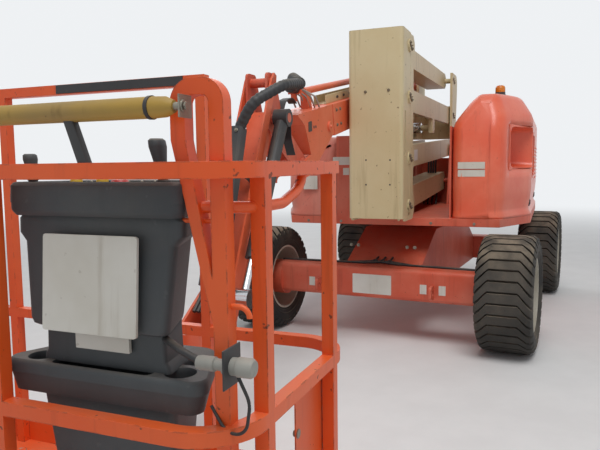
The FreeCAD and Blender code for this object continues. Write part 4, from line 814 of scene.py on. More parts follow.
near = -tank_high[1] + 0.008
low_hood = [(near, z) for z in side_z] + [(near, tank_high[2] - 0.008), (0.9, tank_high[2] - 0.008)]
low_hood += [(-tank_low[1], 1.45)] + [(-tank_low[1], z) for z in side_z[::-1]]
low_radii = [0] * 6 + [0.06, 0.14, 0.14] + [0] * 6
shell = hood_shell(low_hood, low_radii, -1, PIVOT, LOW_SWEPT_Y)
tank = as_shell(make("hood_tank_shell", [shell], tank_paint, "hood_tank"))
print("hood shells of", len(hood.data.polygons), "and", len(tank.data.polygons), "faces")


# %% The control recess, latches, hinges and vents
def rounded_rectangle(low, high, corner, steps=4):
    """Points round a rectangle with arcs at its corners, as (a, b) pairs."""
    corners = [(low[0], low[1], 0), (high[0], low[1], 0), (high[0], high[1], 0), (low[0], high[1], 0)]
    return arc_path(corners, corner, steps, closed=True)[:, :2]


def side_loft(rings, side):
    """Rings of (x, z) outlines, each at its own distance y from the middle, joined in order."""
    table = [np.insert(outline, 1, side * y, axis=1) for outline, y in rings]
    return grid(np.array(table), cap=False)


mouth = rounded_rectangle(PANEL_HOLE[::2] - LAP, PANEL_HOLE[1::2] + LAP, 0.004)
lip = rounded_rectangle(PANEL_HOLE[::2] + 3 * LAP, PANEL_HOLE[1::2] - 3 * LAP, 0.03)
throat = rounded_rectangle(panel_low[[0, 2]] - 0.01, panel_high[[0, 2]] + 0.01, 0.03)
back = rounded_rectangle(panel_low[[0, 2]] - 0.004, panel_high[[0, 2]] + 0.004, 0.02)
rings = [(mouth, outer), (mouth, outer + 0.004), (lip, outer + 0.002), (lip, outer - 0.008),
         (throat, outer - 0.034), (back, panel_low[1] + 0.004)]
recess = [side_loft(rings, 1), slab(np.insert(back, 1, panel_low[1] + 0.004, axis=1), (0, -0.004, 0))]
as_shell(make("control_recess", recess, hood_paint, "hood_engine", sharp=50), 0.003)


def on_skin(outline, lift):
    """An (x, z) outline laid on the hood's swept side and lifted off it, as points."""
    share = sweep_back(outline[:, 0], outer, PIVOT, SWEPT_Y)
    x = outline[:, 0] - lean_back(outline[:, 0], outline[:, 1], hood_high[2])
    return np.column_stack([x, PIVOT + (outer - PIVOT) * share + lift, outline[:, 1]])


mouth = rounded_rectangle(SCOOP[::2] - LAP, SCOOP[1::2] + LAP, 0.004, 6)
lip = rounded_rectangle(SCOOP[::2] + 3 * LAP, SCOOP[1::2] - 3 * LAP, 0.05, 6)
throat = rounded_rectangle(SCOOP[::2] + (5 * LAP, 6 * LAP), SCOOP[1::2] - (0.11, 6 * LAP), 0.04, 6)
back = rounded_rectangle(SCOOP[::2] + (6 * LAP, 7 * LAP), SCOOP[1::2] - (0.14, 7 * LAP), 0.04, 6)
deep = outer - 0.21
rings = [on_skin(mouth, 0.0), on_skin(mouth, 0.003), on_skin(lip, 0.002), on_skin(lip, -0.012),
         np.insert(throat, 1, deep + 0.05, axis=1), np.insert(back, 1, deep, axis=1)]
points, faces = grid(np.array(rings), cap=False)
faces.append(list(range(len(points) - len(back), len(points))))
as_shell(make("hood_scoop", [(points, faces)], hood_paint, "hood_engine", sharp=50), 0.003)
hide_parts("hood_engine")
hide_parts("hood_tank")

face_y = panel_high[1]
board = rounded_rectangle(panel_low[[0, 2]] + 0.004, panel_high[[0, 2]] - 0.004, 0.012)
plate = [slab(np.insert(board, 1, panel_low[1] + 0.004, axis=1), (0, face_y - panel_low[1] - 0.004, 0))]
panel = make("control_panel", plate, panel_metal, "hood_engine", 0.002)
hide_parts("ground_controls")
dials, switches = [], []
for x in (0.1, 0.27, 0.44):
    centre = panel_low + (panel_high - panel_low) * (x, 1, 0.78)
    dials.append(turned([(0.024, 0), (0.024, 0.006), (0.02, 0.009), (0.019, 0.007), (0.001, 0.007)], centre,
                        ACROSS, 28))
for k in range(8):
    x, z = 0.1 + 0.23 * (k % 4), 0.2 + 0.27 * (k // 4)
    centre = panel_low + (panel_high - panel_low) * (x, 1, z)
    switches.append(turned([(0.011, 0), (0.011, 0.004), (0.007, 0.006), (0.006, 0.01)], centre, ACROSS, 6))
    switches.append(turned([(0.003, 0.008), (0.0042, 0.024), (0.003, 0.027), (0.001, 0.028)], centre,
                           (0, 1, 0.35), 12))
centre = panel_low + (panel_high - panel_low) * (0.8, 1, 0.76)
button = [turned([(0.011, 0), (0.011, 0.008), (0.019, 0.011), (0.02, 0.018), (0.016, 0.022), (0.001, 0.023)],
                 centre,
                 ACROSS, 32)]
collar = [turned([(0.028, 0), (0.028, 0.003), (0.001, 0.003)], centre, ACROSS, 32)]
make("panel_dials", dials, black_steel, "hood_engine")
make("panel_switches", switches, zinc, "hood_engine")
make("panel_stop_button", button, red_plastic, "hood_engine")
make("panel_stop_collar", collar, yellow_plastic, "hood_engine")


def louvres(low, high, y, side, count):
    """Slats that lean out of a side face: each is a strip whose upper edge stands on the face, the lower off it."""
    shapes = []
    rise = (high[1] - low[1]) / count
    for k in range(count):
        z = low[1] + rise * k
        outline = [(0, 0), (0.008, 0.001), (0.0085, 0.004), (0.0, rise * 0.72)]
        points = [[(x, side * (y + out), z + up) for out, up in outline] for x in (low[0], high[0])]
        shapes.append(grid(points))
    return shapes


vent_low, vent_high = spot(-0.84, 0, 1.2)[[0, 2]], spot(-0.3, 0, 1.5)[[0, 2]]
make("engine_louvres", louvres(vent_low, vent_high, outer - 0.001, 1, 9), hood_paint, "hood_engine")
make("tank_louvres", louvres(vent_low, vent_high - (0, 0.14), -tank_low[1] - 0.001, -1, 6), tank_paint,
     "hood_tank")


def latch(x, y, z, side):
    """A flush paddle latch: a rounded dish with its paddle and a lock barrel."""
    dish = rounded_rectangle((x - 0.05, z - 0.028), (x + 0.05, z + 0.028), 0.01)
    paddle = rounded_rectangle((x - 0.04, z - 0.018), (x + 0.02, z + 0.018), 0.006)
    lock = turned([(0.009, 0), (0.009, 0.006), (0.003, 0.008), (0.001, 0.004)], (x + 0.034, side * y, z),
                  (0, side, 0), 16)
    return [slab(np.insert(dish, 1, side * (y - 0.01), axis=1), (0, side * 0.014, 0)),
            slab(np.insert(paddle, 1, side * y, axis=1), (0, side * 0.009, 0)), lock]


latches = latch(SWING[0] + 0.55, outer - 0.014, floor_z + 0.1, 1) + latch(SWING[0] - 0.75, outer - 0.014,
                                                                          floor_z + 0.1, 1)
make("engine_latches", latches, black_steel, "hood_engine", 0.0015)
latches = latch(SWING[0] + 0.55, -tank_low[1] - 0.014, floor_z + 0.1, -1)
make("tank_latches", latches, black_steel, "hood_tank", 0.0015)

beacon_low, beacon_high = extent("beacon")
centre = (beacon_low + beacon_high) / 2
centre[2] = beacon_low[2]
radius, tall_of = (beacon_high - beacon_low)[0] / 2, (beacon_high - beacon_low)[2]
base = [(radius, -0.004), (radius, 0.014), (radius * 0.86, 0.018), (radius * 0.86, 0.034),
        (radius * 0.7, 0.036)]
dome = [(radius * 0.8, 0.034), (radius * 0.84, 0.04), (radius * 0.83, tall_of * 0.75),
        (radius * 0.74, tall_of * 0.9),
        (radius * 0.5, tall_of * 0.98), (0.001, tall_of)]
make("beacon_base", [turned(base, centre, (0, 0, 1), 40)], black_steel, "hood_engine")
lens = make("beacon_lens", [turned(dome, centre, (0, 0, 1), 40)], amber, "hood_engine", sharp=60)
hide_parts("beacon")
print("recess, panel, louvres, latches and beacon")


# %% Blank plates
def plate_on(centre, across, along, width, height, thick=0.0022):
    """A thin rounded plate on a surface: its middle lies at centre, and it stands up along across × along."""
    outline = rounded_rectangle((-width / 2, -height / 2), (width / 2, height / 2), min(width, height) * 0.03,
                                2)
    shape = slab(np.column_stack([outline, np.full(len(outline), -0.004)]), (0, 0, 0.004 + thick))
    return placed(shape, np.asarray(centre, float), across, along)


ACROSS_UP = ((0, 1, 0), (0, 0, 1))
FACE_X = 1.07
front = [plate_on(spot(FACE_X - 0.005 * k, 0.594, 1.326 - 0.058 * k), *ACROSS_UP, 0.195, 0.05) for k in (0, 1)]
make("hood_front_plates", front, blank_plate, "hood_engine")
make("tank_front_plate", [plate_on(spot(FACE_X, -0.68, 1.2), *ACROSS_UP, 0.12, 0.11)], blank_plate, "hood_tank")
front = [plate_on(spot(FACE_X, -0.414, 1.372), *ACROSS_UP, 0.142, 0.064),
         plate_on(spot(FACE_X, -0.375, 1.288), *ACROSS_UP, 0.05, 0.056)]
make("bulkhead_plates", front, blank_plate, "turntable")
print("blank plates on both hoods")

# %% [markdown]
# ## The platform's console
# The control box is moulded plastic. Seen from above each of its parts is a trapezoid with round corners that
# narrows towards the operator, so a part is a stack of such outlines: lid, body, neck, storage tray and foot.

# %% Console mouldings
lid_low, lid_high = extent("console_lid")
tray_low = extent("storage_tray")[0]
rails_low, rails_high = extent("platform_rails")
FRONT_X = lid_high[0]
LEFT, RIGHT = lid_low[1] + 0.034, lid_high[1] + 0.082
MIDDLE = (LEFT + RIGHT) / 2


def plan(width, depth, drawn_in, corner, z, forward=0.0, bow=0.012, steps=5):
    """A trapezoid with round corners at height z: its front, bowed forward in the middle, is `width` wide, and its
    rear is narrower by `drawn_in` on each side."""
    half = width / 2
    front, rear = FRONT_X + forward, FRONT_X + forward - depth
    corners = [(front - bow, half), (rear, half - drawn_in), (rear, drawn_in - half), (front - bow, -half)]
    radii = [corner * 0.45, corner, corner, corner * 0.45]
    path = arc_path([(x, y, 0) for x, y in corners], radii, steps, closed=True)[:, :2]
    bowed = bow * (1 - (path[:, 1] / half) ** 2) * smooth(path[:, 0], front - bow - 0.03, front - bow - 0.002)
    return np.column_stack([path[:, 0] + bowed, path[:, 1] + MIDDLE, np.full(len(path), z)])


def stack(layers):
    """A list of outlines with equal point counts, one above another, closed at both ends."""
    return grid(np.array(layers))


def moulding(width, depth, drawn_in, rows):
    """Outlines from a table: each row says how much narrower and shallower its outline is, then gives its corner
    radius, its height and how far forward it lies."""
    return [plan(width - narrower, depth - shallower, drawn_in, corner, z, forward)
            for narrower, shallower, corner, z, forward in rows]


LID_W, LID_D, TAPER = RIGHT - LEFT, 0.206, 0.092
base_z, rim_z = lid_low[2], lid_high[2]
layers = moulding(LID_W, LID_D, TAPER, [
    (0.016, 0.012, 0.04, base_z, -0.008), (0.004, 0.002, 0.045, base_z + 0.008, -0.002),
    (0, 0, 0.045, base_z + 0.014, 0), (0, 0, 0.045, base_z + 0.028, 0),
    (-0.002, 0, 0.045, base_z + 0.03, 0.001), (0.002, 0, 0.045, rim_z - 0.008, 0),
    (0.01, 0.008, 0.042, rim_z - 0.002, -0.004), (0.018, 0.016, 0.04, rim_z, -0.008),
    (0.03, 0.03, 0.034, rim_z - 0.002, -0.015), (0.036, 0.036, 0.03, rim_z - 0.03, -0.018)])
lid = make("console_lid_moulding", [stack(layers)], console_plastic, "platform", sharp=32)
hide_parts("console_lid")
layers = [plan(LID_W - 0.038, LID_D - 0.04, TAPER, 0.028, z, -0.02) for z in (rim_z - 0.031, rim_z - 0.0285)]
make("console_face", [stack(layers)], panel_metal, "platform")

foot_z = extent("console_body")[0][2]
body_low = foot_z - 0.045
layers = []
for share, extra in ((0, -0.02), (0.03, -0.004), (0.16, 0.0), (0.24, -0.034), (0.93, -0.03), (0.98, -0.036),
                     (1, -0.05)):
    z = base_z - share * (base_z - body_low)
    width = LID_W - 0.012 - 0.055 * share + extra
    layers.append(plan(width, 0.186, 0.07, 0.035, z,
                       -0.022 + share * 0.02 + (share > 0.95) * (extra + 0.03) / 2))
neck_low = tray_low[2] + 0.025
for z, width in ((body_low - 0.004, 0.325), (neck_low + 0.022, 0.33), (neck_low + 0.012, 0.345),
                 (neck_low - 0.002, 0.35)):
    layers.append(plan(width, 0.12, 0.02, 0.02, z, -0.03))
body = make("console_body_moulding", [stack(layers)], console_plastic, "platform", sharp=28)
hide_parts("console_body")
print("console lid", round(LID_W, 3), "m wide and", round(LID_D, 3), "deep")

# %% The storage tray
tray_top, tray_foot = neck_low, tray_low[2] - 0.055
TRAY_W, TRAY_D, TRAY_IN = 0.56, 0.245, 0.1


def holed(outline, holes, z):
    """A flat face at height z between an outline and the holes in it, filled with triangles."""
    work = bmesh.new()
    for loop in [outline] + holes:
        ring = [work.verts.new((x, y, z)) for x, y in np.asarray(loop)[:, :2]]
        for a, b in zip(ring, ring[1:] + ring[:1]):
            work.edges.new((a, b))
    bmesh.ops.triangle_fill(work, use_beauty=True, edges=work.edges)
    work.verts.index_update()
    points = np.array([vertex.co[:] for vertex in work.verts])
    faces = [[vertex.index for vertex in face.verts] for face in work.faces]
    work.free()
    return points, faces


def pocket(outline, depth):
    """A pocket's wall and floor: its outline goes down in four rings that shrink towards the outline's middle."""
    middle = outline.mean(0)
    size = np.abs(outline - middle).max()
    rings = [np.column_stack([middle + (outline - middle) * (1 - inset / size),
                              np.full(len(outline), tray_top - drop)])
             for inset, drop in ((0.0, 0.0), (0.0015, 0.003), (0.0025, 0.01), (0.004, depth))]
    points, faces = grid(np.array(rings), cap=False)
    return points, faces + [list(range(len(points) - len(outline), len(points)))]


layers = moulding(TRAY_W, TRAY_D, TRAY_IN, [
    (0.05, 0.04, 0.05, tray_foot, -0.02), (0.03, 0.02, 0.055, tray_foot + 0.006, -0.008),
    (0.008, 0.004, 0.06, tray_foot + 0.05, -0.002), (0, 0, 0.06, tray_top - 0.03, 0),
    (0, 0, 0.06, tray_top - 0.012, 0), (0.005, 0.005, 0.058, tray_top - 0.004, -0.0025),
    (0.014, 0.014, 0.054, tray_top, -0.007)])
CUP_R = 0.035
front = FRONT_X - 0.018
pockets = [rounded_rectangle((front - 0.075, MIDDLE - 0.135), (front, MIDDLE + 0.135), 0.015)]
for side in (-1, 1):
    pockets.append(circle(CUP_R, 32) + (front - 0.04, MIDDLE + side * 0.19))
    pockets.append(rounded_rectangle((front - 0.15, MIDDLE + side * 0.178 - 0.026),
                                     (front - 0.09, MIDDLE + side * 0.178 + 0.026),
                                     0.01))
shell_points, shell_faces = grid(np.array(layers), cap=False)
shell_faces.append(list(range(len(layers[0]))))
shapes = [(shell_points, shell_faces), holed(layers[-1], pockets, tray_top)]
shapes += [pocket(outline, 0.052) for outline in pockets]
tray = make("storage_tray_moulding", shapes, console_plastic, "platform", sharp=32)
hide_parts("storage_tray")

FOOT_LOW = tray_foot - 0.19
FOOT_W, FOOT_D = 0.38, 0.17
layers = moulding(FOOT_W, FOOT_D, 0.03, [
    (0.07, 0.02, 0.03, FOOT_LOW, -0.05), (0.05, 0.01, 0.035, FOOT_LOW + 0.012, -0.04),
    (0.01, 0, 0.035, tray_foot - 0.004, -0.03), (0, 0, 0.035, tray_foot + 0.004, -0.03)])
make("console_foot", [stack(layers)], console_plastic, "platform", sharp=32)
print("tray", TRAY_W, "m wide with", len(pockets), "pockets")

# %% Switches, sticks, plates and screws
knobs, toggles = [], []
deck = rim_z - 0.0285


def boot(centre, radius, height):
    """A bellows boot: rings whose radius falls towards the top in waves."""
    h = np.linspace(0, height, 17)
    r = radius * (1 - 0.68 * h / height) + 0.003 * np.sin(h / height * 5 * 2 * math.pi)
    return turned(np.column_stack([r, h]), centre, (0, 0, 1), 32)


def grip(centre, lean, low, high, width=0.034):
    """A stick's moulded grip: ovals stacked along the stick's lean."""
    rings = []
    for share, size in ((0, 0.5), (0.1, 0.78), (0.45, 0.74), (0.8, 1.0), (0.95, 0.96), (1.0, 0.7)):
        z = low + (high - low) * share
        oval = circle(width / 2 * size, 24, 0.8)
        rings.append(np.column_stack([oval + centre[:2] + np.array(lean) * (z - low), np.full(24, z)]))
    return grid(np.array(rings))


left_stick = np.array([FRONT_X - 0.065, LEFT + 0.038, deck])
right_stick = np.array([FRONT_X - 0.07, RIGHT - 0.085, deck])
sticks = [boot(left_stick, 0.032, 0.03), boot(right_stick, 0.034, 0.034),
          grip(left_stick, (0, -0.1), deck + 0.026, deck + 0.092, 0.036),
          grip(right_stick, (0.06, -0.12), deck + 0.03, deck + 0.118, 0.044)]
make("console_sticks", sticks, console_plastic, "platform", sharp=50)
for y in (MIDDLE - 0.11, MIDDLE - 0.035):
    centre = np.array([FRONT_X - 0.105, y, deck])
    knobs.append(turned([(0.011, 0), (0.011, 0.012), (0.014, 0.014), (0.014, 0.03), (0.011, 0.034),
                         (0.001, 0.034)], centre,
                        (0, 0, 1), 20))
make("console_knobs", knobs, yellow_plastic, "platform", 0.001)
stop = np.array([FRONT_X - 0.085, RIGHT - 0.21, deck])
make("console_stop", [turned([(0.01, 0), (0.01, 0.014), (0.019, 0.018), (0.02, 0.026), (0.017, 0.031),
                              (0.001, 0.032)], stop,
                             (0, 0, 1), 32)], red_plastic, "platform")
places = [(FRONT_X - x, y) for x in (0.05, 0.15) for y in np.linspace(LEFT + 0.1, RIGHT - 0.09, 9)]
for x, y in places:
    if min(abs(y - right_stick[1]), abs(y - left_stick[1])) < 0.045 and x > FRONT_X - 0.12:
        continue
    toggles.append(turned([(0.008, 0), (0.008, 0.004), (0.005, 0.006)], (x, y, deck), (0, 0, 1), 6))
    toggles.append(turned([(0.0025, 0.004), (0.0035, 0.026), (0.0025, 0.029), (0.001, 0.03)], (x, y, deck),
                          (0.3, 0.2, 1), 10))
make("console_toggles", toggles, zinc, "platform")
big = plate_on((FRONT_X, MIDDLE + 0.004, base_z - 0.144), (0, 1, 0), (-0.075, 0, 1), 0.25, 0.212, 0.003)
small = plate_on((FRONT_X - 0.03, MIDDLE + 0.01, neck_low + 0.056), (0, 1, 0), (0, 0, 1), 0.145, 0.033, 0.004)
make("console_plates", [big, small], blank_plate, "platform")
turn_side = np.array([-0.186, -0.07, 0]) / np.hypot(0.186, 0.07)
side_at = np.array([FRONT_X - 0.07, RIGHT - 0.075, 0])
sides = [plate_on(side_at + (0, -0.01, z), -turn_side, (0, 0.12, 1), wide, tall_of, 0.012)
         for z, wide, tall_of in ((base_z - 0.17, 0.06, 0.1), (base_z - 0.105, 0.045, 0.018))]
make("console_side_plates", sides, blank_plate, "platform")
print(len(toggles) // 2, "toggles, 2 sticks and blank plates")

# %% [markdown]
# ## The platform's fittings
# Round bars and cables are a circle carried along a path with arcs at its corners. The deck's tread is one small
# diamond repeated over the floor, and bolts are turned hexagons with a washer.

# %% Grab tube, lanyard ring and guard bar
def rod(corners, radius, bend=0.04, count=14, steps=6, closed=False):
    """A round bar along corners with arcs between them."""
    path = arc_path(corners, bend, steps, closed)
    along = path[-1] - path[0]
    up = (0, 0, 1) if abs(along[2]) < 0.8 * np.linalg.norm(along) else (0.2, 1, 0)
    return sweep(path, circle(radius, count), up, closed)


def bolt(centre, axis, size=0.009, reach=0.006, washer=0.0022):
    """A hexagon head with its chamfer on a round washer, standing on a face at centre and pointing along axis."""
    centre, axis = np.asarray(centre, float), np.asarray(axis, float) / np.linalg.norm(axis)
    ring = turned([(size * 1.35, -0.002), (size * 1.35, washer * 0.8), (size * 1.2, washer), (0.001, washer)],
                  centre,
                  axis, 20)
    head = turned([(size * 0.94, washer), (size, washer + 0.001), (size, reach * 0.8), (size * 0.86, reach),
                   (0.001, reach)], centre + axis * washer, axis, 6)
    return [ring, head]


def washer_row(places, axis, **sizes):
    """Bolts at several places."""
    return [shape for place in places for shape in bolt(place, axis, **sizes)]


RAIL = 0.034
rail_z = 1.355 - RAIL / 2
post_y = rails_high[1] - RAIL / 2
tube = [spot(4.72, 0.47, 1.263), spot(4.7, 0.53, 1.262), spot(4.64, post_y - 0.006, 1.258),
        spot(4.52, post_y, 1.26),
        spot(4.42, post_y, 1.29), spot(4.39, post_y, rail_z)]
make("grab_tube", [rod(tube, 0.0125, 0.09, 16, 8)], rail_paint, "platform")
ring = [spot(4.72, 0.515, 1.01), spot(4.72, 0.515, 1.063), spot(4.72, 0.59, 1.063), spot(4.72, 0.59, 1.01)]
make("lanyard_ring", [rod(ring, 0.006, 0.022)], rail_paint, "platform")
tie = [spot(4.72, 0.3, 1.235), spot(4.72, 0.53, 1.235)]
make("hoop_tie", [rod(tie, 0.005, 0.01)], rail_paint, "platform")

bar_low, bar_high = extent("guard_bar")
bar_c = (bar_low + bar_high) / 2
BAR_R = 0.0215
bar_z = bar_high[2] - 0.0225
ends = bar_low[1] - 0.02, bar_high[1] + 0.022
profile = np.array([(0.001, 0), (0.012, 0.002), (0.02, 0.02), (BAR_R, 0.05), (BAR_R, 0.056), (BAR_R, 0.058)])
length = ends[1] - ends[0]
whole = np.vstack([profile, (profile * (1, -1) + (0, length))[::-1]])
bar_at = np.array([bar_c[0], ends[0], bar_z])
worn_bar = make("guard_bar_tube", [turned(whole, bar_at, ACROSS, 40)], yellow_paint, "platform", sharp=40)
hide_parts("guard_bar")
collars = []
for y in (ends[0] + 0.055, ends[1] - 0.055):
    collars.append(turned([(0.019, -0.005), (0.0232, -0.004), (0.0235, 0.004), (0.019, 0.005)],
                          (bar_c[0], y, bar_z),
                          ACROSS, 36))
make("guard_bar_collars", collars, black_steel, "platform")
stays = [sweep([(bar_c[0], y0, bar_z - 0.014), (bar_c[0], y1, bar_low[2] - 0.016)],
               tube_profile(0.024, 0.02, 0.004),
               (1, 0, 0)) for y0, y1 in ((-0.18, -0.2), (0.215, 0.255))]
make("guard_bar_stays", stays, black_steel, "platform", 0.002)
BRACKET_Y = ends[1] + 0.014
corners = [(bar_c[0] + x, BRACKET_Y, bar_z + z) for x,
           z in ((-0.03, -0.022), (0.014, -0.022), (0.014, 0.022), (-0.03, 0.022))]
bracket = [slab(corners, (0, 0.004, 0)),
           turned([(0.008, -0.02), (0.008, 0.001)], (bar_c[0], BRACKET_Y, bar_z), ACROSS, 16)]
bracket += bolt((bar_c[0], BRACKET_Y + 0.004, bar_z), ACROSS)
make("guard_bar_switch", bracket, zinc, "platform", 0.001)
print("guard bar", round(length, 3), "m long")

# %% Cables of the console
connector = np.array([FRONT_X - 0.001, RIGHT + 0.1, body_low - 0.035])
plug = [(0.001, -0.07), (0.013, -0.07), (0.015, -0.062), (0.015, -0.03), (0.012, -0.028), (0.012, -0.012),
        (0.018, -0.01), (0.018, 0.02), (0.02, 0.022), (0.02, 0.05), (0.016, 0.056), (0.001, 0.056)]
make("cable_connector", [turned(plug, connector, ACROSS, 24)], pale_hose, "platform")
flange = [slab([connector + (x * 0.036, 0.004, z * 0.04) for x, z in ((-1, -1), (1, -1), (1, 1), (-1, 1))],
               (0, 0.004, 0))]
make("connector_flange", flange, black_steel, "platform", 0.006)
start = np.array([FRONT_X - 0.07, RIGHT - 0.11, body_low])
cable = [start, start + (0.02, 0.03, -0.01), connector + (0, -0.11, 0.02), connector + (0, -0.06, 0)]
loop = [connector + (0, 0.02, -0.02), connector + (0, 0.045, -0.07), connector + (-0.01, 0.03, -0.14),
        connector + (-0.02, -0.02, -0.15), connector + (-0.03, -0.06, -0.1)]
make("console_cables", [rod(cable, 0.008, 0.04), rod(loop, 0.0035, 0.05)], hose_rubber, "platform")
trunk = [np.array([FRONT_X - 0.16, MIDDLE + 0.02, FOOT_LOW + 0.02]), spot(4.58, -0.05, 0.42),
         spot(4.4, -0.25, 0.33),
         spot(4.2, -0.31, 0.33), spot(4.1, -0.31, 0.33)]
make("platform_trunk_cable", [rod(trunk, 0.011, 0.09)], hose_rubber, "platform")
print("cables under the console")

# %% Bolted panel, raised rail strip and weld plates
panel_y = rails_high[1] - RAIL - 0.004
panel = [(4.41, 0.53), (4.19, 0.53), (4.19, 0.802), (4.41, 0.802)]
outline = arc_path([spot(x, panel_y, z) for x, z in panel], 0.016, 4, closed=True)
make("side_panel", [slab(outline, (0, -0.004, 0))], rail_paint, "platform", 0.001)
places = [spot(x, panel_y, z) for x in (4.395, 4.205) for z in (0.55, 0.66, 0.785)]
make("side_panel_bolts",
     washer_row(places, (0, -1, 0)) + washer_row(np.array(places) + (0, -0.004, 0), (0, -1, 0)),
     zinc, "platform")
raised_x, raised_z = rails_low[0] + RAIL / 2, rails_high[2] - RAIL / 2
across = rails_low[1] / 2 + rails_high[1] / 2
strip = block((raised_x + RAIL / 2 - 0.001, across - 0.16, raised_z - 0.014),
              (raised_x + RAIL / 2 + 0.003, across + 0.36, raised_z + 0.016))
make("raised_rail_strip", [strip], black_steel, "platform", 0.001)
plates = [block((rails_high[0] - 0.004, y - 0.045, 0.3), (rails_high[0] + 0.003, y + 0.045, 0.41))
          for y in (across - 0.3, across + 0.3)]
make("post_gussets", plates, rail_paint, "platform", 0.001)
places = [(rails_high[0] + 0.003, y + dy, z) for y in (across - 0.3, across + 0.3) for dy in (-0.03,
                                                                                              0.03) for z in
          (0.32, 0.39)]
make("gusset_bolts", washer_row(places, (1, 0, 0), size=0.007), zinc, "platform")
for name, y in (("front_plates", across - 0.62), ("front_plate_right", across + 0.62)):
    make(name, [plate_on((rails_high[0] + 0.0005, y, 0.35), *ACROSS_UP, 0.2, 0.07)], blank_plate, "platform")
print("side panel, strip and gussets")

# %% Deck tread
floor_low, floor_high = extent("platform_floor")
pitch, rows, columns = 0.026, 25, 66
u, v = np.meshgrid(np.arange(rows), np.arange(columns), indexing="ij")
x = floor_low[0] + 0.085 + u * pitch
y = floor_low[1] + 0.09 + v * pitch * 0.98
turned_way = (u + v) % 2
lean = np.where(turned_way, 1, -1) * math.radians(45)
base = np.array([(0.0105, 0), (0, 0.0032), (-0.0105, 0), (0, -0.0032)])
crown = base * 0.45
table = []
for ring, z in ((base, 0.0), (crown, 0.0018)):
    px = x[..., None] + ring[:, 0] * np.cos(lean[..., None]) - ring[:, 1] * np.sin(lean[..., None])
    py = y[..., None] + ring[:, 0] * np.sin(lean[..., None]) + ring[:, 1] * np.cos(lean[..., None])
    table.append(np.stack([px, py, np.full_like(px, floor_high[2] - 0.0003 + z)], -1))
points = np.concatenate([table[0], table[1]], axis=2).reshape(-1, 3)
cells = np.arange(rows * columns)[:, None, None] * 8
sides = np.array([[k, (k + 1) % 4, 4 + (k + 1) % 4, 4 + k] for k in range(4)] + [[4, 5, 6, 7]])
keep = ((x < floor_high[0] - 0.08) & (y < floor_high[1] - 0.08)).ravel()
faces = (cells + sides[None])[keep].reshape(-1, 4).tolist()
make("deck_tread", [(points, faces)], deck_metal, "platform", sharp=60)
print(int(keep.sum()), "tread bars")

# %% [markdown]
# ## Tower, boom and jib details
# Every pin shows a head with a keeper plate. The hoses leave the push tube's clamp, pass the jib's pins in a
# corrugated sleeve and run down the jib behind a folded guard. A hose that crosses a joint bends between the
# two bodies, so each stretch crosses one joint only.

# %% Pin keepers and upright details
def keeper(centre, side, reach=0.05, tilt=0.5):
    """A pin's keeper: a rounded bar with two bolts, and a grease nipple in the pin's middle."""
    along = np.array([math.cos(tilt), 0, math.sin(tilt)])
    outline = rounded_rectangle((-reach, -0.013), (reach, 0.013), 0.012)
    plate = slab(np.column_stack([outline, np.full(len(outline), -0.001)]), (0, 0, 0.007))
    axis = np.array([0, side, 0.0])
    shapes = [placed(plate, centre, along, np.cross(axis, along))]
    shapes += washer_row([centre + axis * 0.006 + along * reach * k for k in (-0.7, 0.7)], axis, size=0.008)
    shapes.append(turned([(0.005, 0.004), (0.005, 0.012), (0.003, 0.014), (0.003, 0.018), (0.001, 0.019)],
                         centre, axis, 10))
    return shapes


upright_low, upright_high = extent("tower_upright")
FRONT_PINS, REAR_PINS = 1.375, -0.85
UPRIGHT_Z, MOUNT_Z, FOOT_Z = (1.045, 1.387, 1.815, 2.172), (1.835, 2.192), (1.165, 1.507)
shapes = []
for z in UPRIGHT_Z:
    for side in (-1, 1):
        shapes += keeper(spot(FRONT_PINS, side * upright_high[1], z), side)
make("upright_pin_keepers", shapes, pin_steel, "upright", 0.001)
mount_high = extent("boom_mount")[1]
shapes = []
for z in MOUNT_Z:
    shapes += keeper(spot(REAR_PINS, mount_high[1], z), 1)
make("mount_pin_keepers", shapes, pin_steel, "boom_mount", 0.001)
shapes = []
for z in FOOT_Z:
    for side in (-1, 1):
        shapes += keeper(spot(REAR_PINS, side * 0.184, z), side)
make("foot_pin_keepers", shapes, pin_steel, "turntable", 0.001)
CHEEK_EDGE, CHEEK_LOBE, CHEEK_TOE = 1.235, 1.195, 0.938
outline = [(1.345, 2.262), (CHEEK_EDGE, 2.262)]
for z in UPRIGHT_Z[::-1]:
    outline += [(CHEEK_EDGE, z + 0.082), (CHEEK_LOBE, z + 0.045), (CHEEK_LOBE, z - 0.045),
                (CHEEK_EDGE, z - 0.082)]
outline = outline[:-1] + [(1.25, CHEEK_TOE), (1.5, CHEEK_TOE), (1.545, 0.972), (1.345, 0.975)]
shapes = []
for side in (-1, 1):
    corners = arc_path([spot(x, side * 0.1835, z) for x, z in outline], 0.028, 4, closed=True)
    shapes.append(slab(corners, (0, side * 0.0125, 0)))
make("upright_cheeks", shapes, tower_paint, "upright", 0.001)
face_x = upright_high[0]
places = [np.array([face_x, y, z]) for y, z in ((-0.07, 1.844), (0.094, 1.849))]
make("upright_bolts", washer_row(places, (1, 0, 0), size=0.008), pin_steel, "upright")
# Black discs stand for four holes in the upright's face: painted shade of the holes' insides.
holes = [turned([(0.0065, -0.001), (0.006, 0.0008), (0.001, 0.0008)], (face_x, y, z), (1, 0, 0), 16)
         for y, z in ((-0.067, 1.373), (0.105, 1.371), (-0.067, 1.2), (0.105, 1.2))]
make("upright_plugs", holes, black_steel, "upright")
tabs = [slab([(face_x - 0.03, y0, upright_low[2] - 0.012), (face_x - 0.006, y0, upright_low[2] - 0.012),
              (face_x - 0.006, y0, upright_low[2] + 0.05), (face_x - 0.03, y0, upright_low[2] + 0.05)],
              (0, 0.012, 0))
        for y0 in (-0.17, 0.158)]
make("upright_tabs", tabs, tower_paint, "upright", 0.002)
arm_slope = (2.192 - 2.172) / (FRONT_PINS - REAR_PINS)
y_arm = extent("tower_upper_arm")[1][1]
